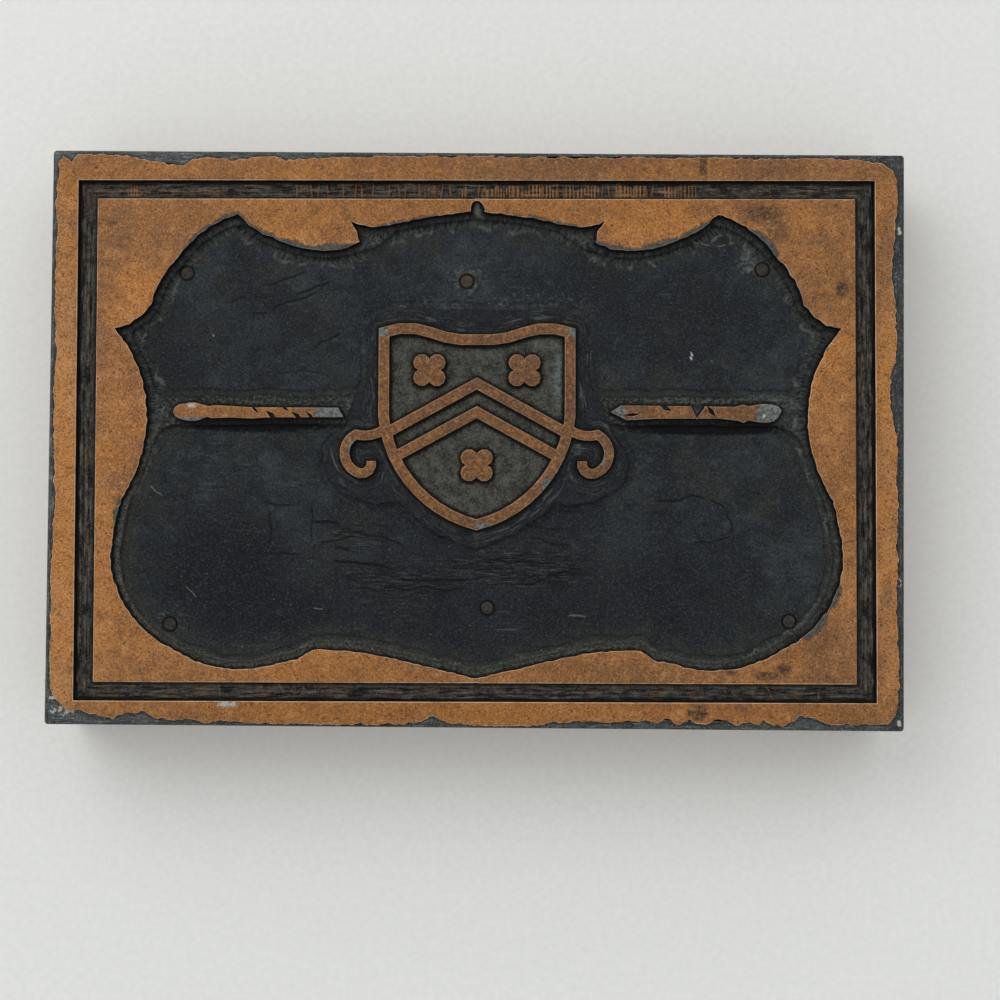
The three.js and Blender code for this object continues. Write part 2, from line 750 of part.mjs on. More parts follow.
// Copper skin of the border and the panel, one sheet that dips through the channel
function borderShell() {
  let shell = prism(shapeOf(wornEdge()), leadTop, typeHeight);
  shell = shell.add(channelCutter(leadTop, copperThickness, copperThickness)
    .subtract(prism(slab(blockLength, blockWidth), typeHeight, typeHeight + overrun * 3)));
  shell = shell.subtract(channelCutter(typeHeight, 0, 0));
  const middleX = channelHalfLength - channelEndWidth / 2;
  const middleY = channelHalfWidth - channelSideWidth / 2;
  for (const side of [-0.5, 0.5]) {
    const out = side * cutterLineSpacing + cutterLineWidth / 2;
    const line = frameShape(middleX + out, middleY + out, cutterLineWidth, cutterLineWidth);
    shell = shell.subtract(taperedCutter(
      line, channelLevel - cutterLineDepth, channelLevel, cutterLineSlopeWidth));
  }
  const ribCount = Math.floor(ribRunLength / ribPitch);
  const ribLength = channelSideWidth - channelSlopeWidth * 2;
  for (let i = 0; i < ribCount; i++) {
    const rib = new THREE.CylinderGeometry(ribWidth, ribWidth, ribLength, 4);
    rib.scale(1, 1, ribHeight / ribWidth);
    rib.rotateZ(Math.sin(i * 2.3) * ribSkew);
    const place = i + ribShiftShare * Math.sin(i * 1.7);
    const along = ribRunOffset - ribRunLength / 2 + place * ribPitch;
    const [spot] = laidInBorder([new THREE.Vector2(along, middleY)]);
    rib.translate(spot.x, spot.y, channelLevel);
    shell = shell.add(solid(rib));
  }
  shell = shell.subtract(prism(shapeOf(cartouche), leadTop - overrun / 2, typeHeight + overrun));
  return shell.subtract(prism(crownTab(), leadTop - overrun / 2, typeHeight + overrun));
}

// Copper skin of the crest: a plate over the island, with the strokes standing on it
function crestShell() {
  const plate = prism(shapeOf(island), fieldLevel - copperThickness, fieldLevel);
  const skin = plate.add(crestRelief(fieldLevel, typeHeight, 0, rootDepth));
  return skin.subtract(
    crestRelief(fieldLevel - copperThickness, leadTop, copperThickness, rootDepth));
}

// Copper cap of a bar
function barShell(place) {
  const skin = bar(...place, typeHeight, 0, 0);
  return skin.subtract(bar(...place, leadTop, copperThickness, rootDepth));
}

const copperLook = { color: 0xb8763a, roughness: 0.5, metalness: 0.85 };
const leadLook = { color: 0x3b4046, roughness: 0.6, metalness: 0.6 };
const woodLook = { color: 0x7d5330, roughness: 0.75, metalness: 0 };
const nailLook = { color: 0x4c463e, roughness: 0.55, metalness: 0.8 };

const printingBlock = new THREE.Group();
printingBlock.name = "printing_block";
printingBlock.add(node("wood_mount", woodMount(), woodLook));
printingBlock.add(node("backing_metal", backingMetal(), leadLook));
printingBlock.add(node("border_shell", borderShell(), copperLook));
printingBlock.add(node("crest_shell", crestShell(), copperLook));
printingBlock.add(node("left_bar_shell", barShell(leftBar), copperLook));
printingBlock.add(node("right_bar_shell", barShell(rightBar), copperLook));
for (const spot of nailSpots)
  printingBlock.add(node(spot.name, nailSolid(nailSeat, spot), nailLook));

export default printingBlock;
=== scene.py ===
import math

import bmesh
import bpy
import numpy as np
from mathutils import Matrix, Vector, kdtree, noise


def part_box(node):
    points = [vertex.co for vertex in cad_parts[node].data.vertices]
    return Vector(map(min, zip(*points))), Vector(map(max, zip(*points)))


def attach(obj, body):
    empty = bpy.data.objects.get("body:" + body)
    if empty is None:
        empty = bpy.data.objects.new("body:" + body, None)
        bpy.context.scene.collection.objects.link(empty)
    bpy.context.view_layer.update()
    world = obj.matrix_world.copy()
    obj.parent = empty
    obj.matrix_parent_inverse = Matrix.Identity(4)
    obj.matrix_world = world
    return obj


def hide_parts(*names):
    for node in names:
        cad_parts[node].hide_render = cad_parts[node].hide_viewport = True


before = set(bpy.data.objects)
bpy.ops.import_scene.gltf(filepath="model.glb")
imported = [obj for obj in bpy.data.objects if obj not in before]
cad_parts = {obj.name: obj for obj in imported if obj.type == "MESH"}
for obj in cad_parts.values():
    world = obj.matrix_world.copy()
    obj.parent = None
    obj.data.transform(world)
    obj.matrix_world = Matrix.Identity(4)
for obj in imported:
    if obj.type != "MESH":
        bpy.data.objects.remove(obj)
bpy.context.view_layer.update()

# Wood mount. A planed block of close-grained hardwood lifts the plate to the height of type.
# It is cut square, its edges are eased by hand, and the brads of the plate are driven into it.
# Years of handling have left it brown, rubbed and stained with ink near the top.
MM = 0.001
BODY = "root"
wood_spacing = 3.0
wood_hollow = 0.10
wood_edge_loss = 0.22
maple = (132, 98, 66)
maple_late_wood = (104, 74, 48)
maple_worn = (154, 120, 84)
ink_stain = (46, 42, 38)
open_pore = (96, 66, 40)


def only(piece):
    """Makes one piece the selected and the active one."""
    bpy.ops.object.select_all(action="DESELECT")
    piece.select_set(True)
    bpy.context.view_layer.objects.active = piece


def copy_of_solid(node, name):
    """A copy of a CAD solid, with its loose triangles merged and each flat face made whole."""
    piece = bpy.data.objects.new(name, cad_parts[node].data.copy())
    bpy.context.scene.collection.objects.link(piece)
    piece.data.name = name
    piece.data.materials.clear()
    only(piece)
    bpy.ops.object.mode_set(mode="EDIT")
    bpy.ops.mesh.select_all(action="SELECT")
    bpy.ops.mesh.remove_doubles(threshold=0.002 * MM)
    bpy.ops.mesh.dissolve_limited(angle_limit=math.radians(0.4))
    bpy.ops.mesh.customdata_custom_splitnormals_clear()
    bpy.ops.object.mode_set(mode="OBJECT")
    return piece


def points_of(piece):
    """The piece's points as rows of x, y and z in millimetres."""
    flat = np.empty(len(piece.data.vertices) * 3, np.float32)
    piece.data.vertices.foreach_get("co", flat)
    return flat.reshape(-1, 3).astype(float) / MM


def move_points(piece, points):
    """Puts the piece's points where the rows of x, y and z say."""
    piece.data.vertices.foreach_set("co", (points * MM).astype(np.float32).ravel())
    piece.data.update()


def faces_of(piece):
    """The middle of each face in millimetres, and its normal."""
    middles = np.empty(len(piece.data.polygons) * 3, np.float32)
    normals = np.empty(len(piece.data.polygons) * 3, np.float32)
    piece.data.polygons.foreach_get("center", middles)
    piece.data.polygons.foreach_get("normal", normals)
    return middles.reshape(-1, 3).astype(float) / MM, normals.reshape(-1, 3)


def pick_faces(piece, wanted):
    """Goes to edit mode with only the faces selected that `wanted` picks by middle and normal."""
    only(piece)
    mesh = piece.data
    mesh.vertices.foreach_set("select", np.zeros(len(mesh.vertices), bool))
    mesh.edges.foreach_set("select", np.zeros(len(mesh.edges), bool))
    mesh.polygons.foreach_set("select", wanted(*faces_of(piece)))
    bpy.context.tool_settings.mesh_select_mode = (False, False, True)
    bpy.ops.object.mode_set(mode="EDIT")


def upward(middles, normals):
    """Picks all faces but those that look down."""
    return normals[:, 2] > -0.5


def square_up(piece, spacing, axes, wanted):
    """Cuts the picked faces in squares, so that they can be hollowed, ribbed and nibbled."""
    middles = points_of(piece)
    pick_faces(piece, wanted)
    bpy.ops.mesh.hide(unselected=True)
    for axis in axes:
        direction = np.eye(3)[axis]
        start = math.ceil(middles[:, axis].min() / spacing)
        end = math.floor(middles[:, axis].max() / spacing)
        for step in range(start, end + 1):
            bpy.ops.mesh.select_all(action="SELECT")
            bpy.ops.mesh.bisect(
                plane_co=direction * step * spacing * MM,
                plane_no=direction,
                threshold=0.02 * MM,
            )
    bpy.ops.mesh.reveal(select=False)
    bpy.ops.object.mode_set(mode="OBJECT")


def split_squares(piece, cuts, wanted):
    """Divides the picked faces again, each edge by the same number of cuts."""
    pick_faces(piece, wanted)
    bpy.ops.mesh.subdivide(number_cuts=cuts)
    bpy.ops.object.mode_set(mode="OBJECT")


def mend_faces(piece):
    """Leaves only faces of three or four sides."""
    pick_faces(piece, lambda middles, normals: np.zeros(len(middles), bool))
    bpy.ops.mesh.select_face_by_sides(number=4, type="GREATER")
    bpy.ops.mesh.quads_convert_to_tris(quad_method="BEAUTY", ngon_method="BEAUTY")
    bpy.ops.object.mode_set(mode="OBJECT")


def uneven(points, size, seed):
    """Smooth unevenness from -1 to 1 at each point. Its lumps are `size` millimetres wide."""
    shift = Vector((17.3 * seed, 5.1 * seed, 9.7 * seed))
    return np.array([noise.noise(Vector(p) / size + shift) for p in points])


def smooth_step(low, high, value):
    """Goes from 0 to 1 as the value goes from low to high, slowly at both ends."""
    share = np.clip((value - low) / (high - low), 0, 1)
    return share * share * (3 - 2 * share)


def round_off(piece, angle=30):
    """Smooths the shading over edges that turn by less than the angle."""
    only(piece)
    bpy.ops.object.shade_smooth_by_angle(angle=math.radians(angle))


def colour(rgb):
    """A colour as it is read off a screen, 0 to 255, made linear."""
    shares = [c / 255 for c in rgb]
    return tuple(s / 12.92 if s <= 0.04045 else ((s + 0.055) / 1.055) ** 2.4 for s in shares) + (1,)


def new_finish(name, roughness, metallic=0.0, specular=0.5):
    """A new material, with its node tree and its shader."""
    material = bpy.data.materials.new(name)
    material.use_nodes = True
    shader = material.node_tree.nodes["Principled BSDF"]
    shader.inputs["Roughness"].default_value = roughness
    shader.inputs["Metallic"].default_value = metallic
    shader.inputs["Specular IOR Level"].default_value = specular
    return material, material.node_tree, shader


def node(tree, kind, inputs=None, **settings):
    """Adds a shader node, sets its options, and sets or links its sockets."""
    made = tree.nodes.new("ShaderNode" + kind)
    for name, value in settings.items():
        setattr(made, name, value)
    for name, value in (inputs or {}).items():
        if isinstance(value, bpy.types.NodeSocket):
            tree.links.new(value, made.inputs[name])
        else:
            made.inputs[name].default_value = value
    return made


def surface_place(tree, stretch=(1, 1, 1), turn=0, shift=(0, 0, 0)):
    """Where a point of the piece is, stretched and turned to lay a pattern along something."""
    where = node(tree, "TexCoord").outputs["Object"]
    inputs = {
        "Vector": where,
        "Scale": stretch,
        "Rotation": (0, 0, math.radians(turn)),
        "Location": shift,
    }
    return node(tree, "Mapping", inputs).outputs["Vector"]


def mottle(tree, size, detail=2, rough=0.5, distortion=0, **place):
    """Cloudy variation from 0 to 1, with lumps `size` millimetres wide."""
    inputs = {
        "Vector": surface_place(tree, **place),
        "Scale": 1 / (size * MM),
        "Detail": detail,
        "Roughness": rough,
        "Distortion": distortion,
    }
    return node(tree, "TexNoise", inputs).outputs["Fac"]


def spread(tree, value, low, high, to_low=0.0, to_high=1.0):
    """Turns the range low..high of a value into to_low..to_high, and holds it there."""
    inputs = {
        "Value": value,
        "From Min": low,
        "From Max": high,
        "To Min": to_low,
        "To Max": to_high,
    }
    return node(tree, "MapRange", inputs, interpolation_type="SMOOTHSTEP").outputs["Result"]


def reckon(tree, operation, first, second):
    return node(tree, "Math", {0: first, 1: second}, operation=operation).outputs["Value"]


def times(tree, first, second):
    return reckon(tree, "MULTIPLY", first, second)


def plus(tree, first, second):
    return reckon(tree, "ADD", first, second)


def blend(tree, share, first, second, how="MIX"):
    """One colour over another by a share from 0 to 1. A colour is a socket or screen values."""
    made = node(tree, "Mix", data_type="RGBA", blend_type=how)
    sockets = {0: share, 6: first, 7: second}
    for index, value in sockets.items():
        if isinstance(value, bpy.types.NodeSocket):
            tree.links.new(value, made.inputs[index])
        elif index == 0:
            made.inputs[index].default_value = value
        else:
            made.inputs[index].default_value = colour(value)
    return made.outputs[2]


def roughen(tree, value, by, most):
    """A value made uneven by a mottle, up or down by as much as `most`."""
    return plus(tree, value, spread(tree, by, 0.3, 0.7, -most, most))


def tint(tree, ground, value, *layers, where=None):
    """Lays colours over the ground. In each layer the colour comes in as the value goes from its
    first to its second number, up to the share in the third, and only `where` another allows."""
    for low, high, most, over in layers:
        share = spread(tree, value, low, high, 0, most)
        if where is not None:
            share = times(tree, share, where)
        ground = blend(tree, share, ground, over)
    return ground


def relief(tree, height, depth, under=None):
    """A bump of `depth` millimetres from a height of 0 to 1, laid over another bump."""
    inputs = {"Height": height, "Distance": depth * MM, "Strength": 1.0}
    if under is not None:
        inputs["Normal"] = under
    return node(tree, "Bump", inputs).outputs["Normal"]


def wood_finish():
    """Old maple: rings, fibres and pores, rubbed pale here and there, inked near the top."""
    material, tree, shader = new_finish("hardwood", 0.62, specular=0.3)
    where = surface_place(tree, stretch=(0.12, 1, 1), shift=(0, -0.055, 0.07))
    rings = node(
        tree,
        "TexWave",
        {
            "Vector": where,
            "Scale": 210,
            "Distortion": 5,
            "Detail": 3,
            "Detail Scale": 0.35,
            "Detail Roughness": 0.55,
        },
        wave_type="RINGS",
        rings_direction="X",
    ).outputs["Fac"]
    late = spread(tree, rings, 0.5, 0.98, 0, 0.75)
    ground = blend(tree, late, maple, maple_late_wood)
    fibres = mottle(tree, 0.5, 5, 0.75, stretch=(0.04, 1, 1))
    ground = tint(
        tree, ground, fibres, (0.52, 0.66, 0.5, maple_worn), (0.48, 0.34, 0.65, maple_late_wood)
    )
    rubbed = spread(tree, mottle(tree, 22, 3, 0.6), 0.45, 0.75, 0, 0.55)
    ground = blend(tree, rubbed, ground, maple_worn)
    pores = mottle(tree, 0.35, 2, 0.6, stretch=(0.07, 1, 1))
    pore_share = spread(tree, pores, 0.58, 0.72)
    ground = blend(tree, times(tree, pore_share, 0.45), ground, open_pore)
    height = node(tree, "SeparateXYZ", {0: surface_place(tree)}).outputs["Z"]
    near_top = spread(tree, height, 0.0135, 0.0194)
    blotch = spread(tree, mottle(tree, 9, 4, 0.62), 0.42, 0.62)
    stained = times(tree, near_top, blotch)
    soiled = spread(tree, mottle(tree, 30, 4, 0.7, shift=(0.3, 0.1, 0)), 0.56, 0.72, 0, 0.5)
    stained = reckon(tree, "MAXIMUM", stained, soiled)
    ground = blend(tree, times(tree, stained, 0.8), ground, ink_stain)
    tree.links.new(ground, shader.inputs["Base Color"])
    sawn = mottle(tree, 0.5, 2, 0.5, stretch=(1, 1, 0.05))
    bump = relief(tree, sawn, 0.03)
    bump = relief(tree, fibres, 0.04, bump)
    bump = relief(tree, pores, 0.06, bump)
    tree.links.new(bump, shader.inputs["Normal"])
    gloss = spread(tree, rubbed, 0, 0.5, 0.68, 0.5)
    tree.links.new(gloss, shader.inputs["Roughness"])
    return material


wood = copy_of_solid("wood_mount", "hardwood_block")
wood_low, wood_high = (np.array(c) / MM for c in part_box("wood_mount"))
square_up(wood, wood_spacing, (0, 1, 2), lambda middles, normals: abs(normals[:, 2]) < 0.9)
mend_faces(wood)
wood_points = points_of(wood)
side_gaps = wood_high[:2] - np.abs(wood_points[:, :2])
near_side = side_gaps.min(axis=1)
near_corner = np.hypot(*side_gaps.T)
near_foot = wood_points[:, 2] - wood_low[2]
loss = wood_hollow * (0.5 + 0.5 * uneven(wood_points, 14, 1))
bruised = wood_edge_loss * smooth_step(0.15, 0.6, uneven(wood_points, 5, 2))
loss += bruised * smooth_step(2.5, 0.2, np.minimum(near_foot, near_corner))
pull = np.where(near_side < 0.5, loss, 0)
wood_points[:, :2] -= np.sign(wood_points[:, :2]) * pull[:, None]
move_points(wood, wood_points)
round_off(wood, 50)
wood.data.materials.append(wood_finish())
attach(wood, BODY)
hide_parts("wood_mount")

# Lead backing. A shell of copper is too thin to print from, so its back is filled with a cast
# lead alloy and planed flat. The margins of the plate show this metal where the copper is worn
# away, and the floor of the cartouche is the same metal, routed out in passes and black with ink.
face_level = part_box("border_shell")[1][2] / MM
lead_low, lead_high = (np.array(c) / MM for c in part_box("backing_metal"))
lead_top = lead_high[2]
field_level = face_level - 1.15
pool_level = face_level - 1.8
below_pools = pool_level - 0.6
wall_foot = face_level - 0.7
low_ground = face_level - 0.9
field_half = (66.0, 42.6)
# The printed border was cut a little askew: its turn, its middle, and its channel's half sizes.
design_turn = math.radians(0.28)
border_middle = (-0.1, -0.22)
channel_outer = (71.05, 46.4)
channel_inner = (67.45, 43.0)
plate_spacing = 6.0
floor_spacing = 1.0
brad_head = 1.25
lead_grey = (70, 75, 73)
lead_dark = (40, 44, 44)
lead_light = (122, 126, 122)
silver = (158, 160, 158)
ink_blue = (43, 49, 53)
ink_deep = (30, 34, 38)
ink_thick = (20, 22, 28)
# black for ink specks and streaks, and for painted shade along walls and at the feet of steps
ink_and_shade_black = (13, 13, 14)
ink_olive = (50, 50, 41)
ink_dry = (72, 76, 76)
haze_pale = (92, 100, 98)
rust_dust = (66, 55, 41)
lead_scratch = (27, 28, 28)
lead_grime = (31, 33, 33)
lead_soil = (24, 23, 22)
lead_pit = (24, 26, 26)
ink_cloud = (60, 66, 69)
foot_olive = (52, 53, 47)
edge_olive = (60, 60, 52)
web_pale = (88, 88, 78)
hair_pale = (88, 86, 82)
# black for the dark hairlines, and for the painted shadow below the bars
soot_black = (8, 9, 11)
wall_black = (12, 13, 14)
wall_grey = (66, 70, 68)
# the two tones of the band of painted light along the lower walls
band_dark = (42, 44, 40)
band_pale = (86, 88, 80)
ridge_pale = (84, 88, 84)
# painted shade in the corner at the foot of the cartouche wall
corner_shade_black = (11, 11, 12)
# painted shade for crevices at the feet of strokes and round the brad heads
crevice_shade_black = (12, 12, 12)
# painted shade for the rings round the brads and the band along the channel walls
shade_black = (10, 10, 10)
cut_black = (11, 12, 13)
scrape_pale = (112, 106, 94)
# Cuts in the floor: from x, y to x, y, how wide and how deep, in millimetres.
floor_cuts = [
    (-38.0, 27.7, -29.9, 29.7, 0.2, 0.1),
    (-32.7, 25.7, -25.4, 28.3, 0.2, 0.1),
    (-40.6, 22.5, -37.4, 22.5, 0.18, 0.08),
    (-37.4, 22.5, -28.1, 26.5, 0.2, 0.1),
    (-45.6, 24.6, -40.6, 25.3, 0.16, 0.06),
    (-29.8, 16.3, -23.9, 18.6, 0.18, 0.09),
    (-36.5, 11.8, -27.0, 11.8, 0.18, 0.06),
    (-26.1, -21.8, -14.2, -23.1, 0.24, 0.16),
    (-28.9, -14.6, -24.0, -15.4, 0.24, 0.14),
    (-22.2, -16.3, -11.5, -18.9, 0.18, 0.08),
    (-27.6, -18.6, -20.5, -17.3, 0.2, 0.1),
    (-25.8, -17.2, -19.6, -16.4, 0.18, 0.08),
    (-24.9, -19.8, -22.2, -19.8, 0.22, 0.12),
    (-14.1, -24.9, -0.8, -25.3, 0.22, 0.12),
    (-16.8, -26.5, -0.8, -26.7, 0.2, 0.1),
    (8.0, -15.2, 16.9, -16.0, 0.18, 0.08),
    (8.0, -17.8, 17.8, -18.6, 0.18, 0.08),
    (0.9, -21.4, 14.5, -22.2, 0.18, 0.08),
    (6.0, -26.6, 20.5, -22.4, 0.2, 0.1),
    (-36.4, -12.8, -36.3, -19.9, 0.18, 0.07),
    (-38.7, -12.0, -31.5, -12.2, 0.18, 0.07),
    (-29.1, -11.4, -28.9, -19.0, 0.18, 0.07),
    (-40.9, -20.9, -29.3, -20.2, 0.18, 0.06),
    (32.0, -10.6, 41.7, -10.1, 0.2, 0.09),
    (41.7, -10.1, 44.8, -12.0, 0.2, 0.09),
    (44.8, -12.0, 45.6, -17.1, 0.2, 0.09),
    (45.6, -17.1, 38.2, -18.5, 0.2, 0.09),
    (34.0, -14.9, 37.6, -13.7, 0.16, 0.05),
    (38.0, -15.2, 42.6, -20.6, 0.16, 0.06),
]
# Scrapes that laid bare brown or pale metal: from x, y to x, y, and how wide.
floor_scrapes = [
    (16.5, -31.4, 20.5, -31.5, 0.3),
    (-29.2, -30.1, -26.5, -30.5, 0.26),
    (-51.8, -26.2, -48.8, -28.4, 0.26),
    (-58.0, -8.5, -55.3, -11.2, 0.26),
    (38.0, 35.7, 42.2, 34.9, 0.34),
    (42.2, 34.9, 46.6, 35.9, 0.34),
    (0.05, 42.6, 0.05, 39.4, 0.95),
]
# Soft patches on the floor: x, y, half width, half height and strength.
thick_ink_patches = [
    (0.0, -30.0, 46.0, 12.0, 0.7),
    (-44.0, -25.0, 12.0, 14.0, 0.9),
    (-34.0, -31.0, 14.0, 6.0, 0.9),
    (38.0, 24.0, 16.0, 10.0, 0.45),
    (24.0, 30.0, 10.0, 5.0, 0.5),
    (34.0, -28.0, 16.0, 10.0, 0.7),
    (2.0, -15.0, 30.0, 5.0, 0.5),
    (-38.0, 16.0, 18.0, 8.0, 0.3),
    (-56.0, 14.0, 6.0, 10.0, 0.5),
]
haze_patches = [
    (52.0, 7.7, 5.5, 0.6, 0.7),
    (38.0, 7.0, 12.0, 0.6, 0.45),
    (48.4, 32.2, 2.2, 2.6, 0.6),
    (-1.8, 28.6, 4.2, 3.4, 0.42),
    (-54.0, -32.0, 3.6, 3.0, 0.3),
    (12.0, 24.5, 12.0, 2.2, 0.3),
    (-8.0, 23.6, 8.0, 1.8, 0.35),
    (19.0, 13.0, 2.2, 8.0, 0.35),
    (-19.5, 15.0, 2.0, 7.0, 0.2),
]
rust_patches = [
    (-1.8, 28.4, 1.7, 1.6, 1.0),
    (-47.6, 19.2, 0.4, 1.5, 0.7),
    (50.9, 30.8, 2.0, 1.9, 0.8),
    (-50.0, 31.5, 3.0, 1.5, 0.4),
]
# Where the floor was scoured lengthwise in fine lines.
scoured_patches = [
    (8, -23, 13, 3.6, 1.0),
    (-14, -25.5, 11, 2.6, 0.9),
    (-22, -17.5, 7, 2.4, 0.7),
]
# Painted shadow below the bars: black laid on the floor where the bars shade it.
soot_patches = [(40.3, 2.2, 14.0, 1.2, 1.0), (-38.5, 2.2, 13.5, 1.2, 0.95)]
# Bright chips knocked out of the lead: x, y, half width, half height and strength.
lead_chips = [
    (-74.2, -46.5, 0.9, 0.3, 0.9),
    (-73.0, -48.6, 2.4, 1.2, 0.42),
    (75.1, -49.8, 0.5, 0.5, 0.9),
    (75.1, 37.5, 0.3, 0.9, 0.8),
    (75.2, -25.0, 0.2, 1.6, 0.6),
    (-47.0, 18.4, 0.25, 0.3, 0.8),
    (38.3, 15.1, 0.35, 0.6, 0.8),
    (42.2, 14.2, 0.2, 0.3, 0.7),
]


def outline_points(piece, level):
    """Points every 0.1 mm along the sharp edges that a solid has at one height, as x and y."""
    shape = bmesh.new()
    shape.from_mesh(piece.data)
    found = []
    for edge in shape.edges:
        start, end = (Vector(v.co) / MM for v in edge.verts)
        if max(abs(start.z - level), abs(end.z - level)) > 0.02:
            continue
        if all(abs(face.normal.z) > 0.99 for face in edge.link_faces):
            continue
        steps = max(1, int((end - start).length / 0.1))
        found += [tuple(start.lerp(end, i / steps).xy) for i in range(steps)]
    shape.free()
    return np.array(found)


def nearest_on(points, outline):
    """How far each point lies from an outline, seen from above, and the spot it is nearest to."""
    tree = kdtree.KDTree(len(outline))
    for index, (x, y) in enumerate(outline):
        tree.insert((x, y, 0), index)
    tree.balance()
    found = [tree.find((x, y, 0)) for x, y, _ in points]
    return np.array([f[2] for f in found]), np.array([f[0][:2] for f in found])


def gap_to_cut(points, cut):
    """How far each point lies from a straight cut, seen from above."""
    start = np.array(cut[:2])
    along = np.array(cut[2:4]) - start
    share = np.clip(((points[:, :2] - start) @ along) / (along @ along), 0, 1)
    return np.linalg.norm(points[:, :2] - start - share[:, None] * along, axis=1), share


def in_border_frame(points):
    """Where points lie, seen from the middle of the printed border and along its sides."""
    x = points[:, 0] - border_middle[0]
    y = points[:, 1] - border_middle[1]
    cosine, sine = math.cos(design_turn), math.sin(design_turn)
    return x * cosine + y * sine, y * cosine - x * sine


def patch_strength(points, patches):
    """Strength from 0 to 1 of soft oval patches at each point."""
    strength = np.zeros(len(points))
    for x, y, half_width, half_height, most in patches:
        reach = np.hypot((points[:, 0] - x) / half_width, (points[:, 1] - y) / half_height)
        strength = np.maximum(strength, most * smooth_step(1.5, 0.5, reach))
    return strength


def wander(points, size, seed):
    """A sideways drift, alike for all that lies above one spot. Its lumps are `size` mm wide."""
    flat = points * np.array([1, 1, 0])
    return np.column_stack([uneven(flat, size, seed), uneven(flat, size, seed + 1)])


def routed_drift(points, wall_gap, raised_gap):
    """How far the hand-held cutter strayed along the edges of pools, web and cartouche."""
    free = smooth_step(1.2, 2.4, wall_gap) * smooth_step(0.8, 1.6, raised_gap)
    for place in brad_places:
        free *= smooth_step(1.9, 2.9, np.hypot(*(points[:, :2] - place).T))
    chipped = smooth_step(1.3, 0.6, wall_gap)
    drift = free[:, None] * (0.55 * wander(points, 3.2, 41) + 0.2 * wander(points, 1.3, 43))
    return drift + chipped[:, None] * 0.22 * wander(points, 1.1, 45)


def give_measures(piece, **measures):
    """Stores named numbers at each point, or one number for all, for the finish to read."""
    for name, values in measures.items():
        layer = piece.data.attributes.new(name, "FLOAT", "POINT")
        rows = np.broadcast_to(np.asarray(values, np.float32), len(layer.data))
        layer.data.foreach_set("value", np.ascontiguousarray(rows))


def give_lay(piece, name, spots, gaps):
    """Stores at each point the nearest spot of an outline and how far off it is."""
    layer = piece.data.attributes.new(name, "FLOAT_VECTOR", "POINT")
    layer.data.foreach_set("vector", np.column_stack([spots, gaps]).astype(np.float32).ravel())


def measure(tree, name, socket="Fac"):
    """Reads a stored number, or with "Vector" a stored lay."""
    return node(tree, "Attribute", attribute_name=name).outputs[socket]


def lay_mottle(tree, lay, stretch, detail=3, rough=0.65):
    """Cloudy variation from 0 to 1 drawn along a stored lay instead of the piece's own place."""
    drawn = node(tree, "Mapping", {"Vector": lay, "Scale": stretch}).outputs["Vector"]
    inputs = {"Vector": drawn, "Scale": 1.0, "Detail": detail, "Roughness": rough}
    return node(tree, "TexNoise", inputs).outputs["Fac"]


def rough_patch(tree, strength, size=0.6, low=0.35, high=0.65):
    """A stored soft patch with its edge broken up."""
    ragged = spread(tree, mottle(tree, size, 4, 0.7), 0.25, 0.75, -0.4, 0.4)
    return spread(tree, plus(tree, strength, ragged), low, high)


def bare_lead_finish():
    """Lead alloy planed along each side of the plate, grey, with soil and bright chips."""
    material, tree, shader = new_finish("bare_lead", 0.52, metallic=0.3, specular=0.35)
    on_end = measure(tree, "on_end")
    ground = blend(tree, spread(tree, mottle(tree, 4, 4, 0.65), 0.3, 0.7), lead_dark, lead_grey)
    lengthwise = mottle(tree, 0.45, 3, 0.7, stretch=(0.16, 1, 1))
    endwise = mottle(tree, 0.45, 3, 0.7, stretch=(1, 0.16, 1))
    turned = times(tree, reckon(tree, "SUBTRACT", endwise, lengthwise), on_end)
    streaks = plus(tree, lengthwise, turned)
    ground = tint(
        tree, ground, streaks, (0.54, 0.66, 0.6, lead_light), (0.46, 0.32, 0.85, lead_scratch)
    )
    ground = blend(tree, measure(tree, "grime"), ground, lead_grime)
    soil = spread(tree, measure(tree, "rim_gap"), 0.5, 0.1, 0, 0.75)
    ground = blend(tree, soil, ground, lead_soil)
    flecks = mottle(tree, 0.35, 3, 0.7, shift=(0.4, 0.1, 0))
    ground = tint(tree, ground, flecks, (0.56, 0.66, 0.6, lead_light), (0.44, 0.36, 0.8, lead_pit))
    chip = rough_patch(tree, measure(tree, "chip"))
    ground = blend(tree, chip, ground, silver)
    tree.links.new(ground, shader.inputs["Base Color"])
    bump = relief(tree, streaks, 0.06)
    tree.links.new(bump, shader.inputs["Normal"])
    return material


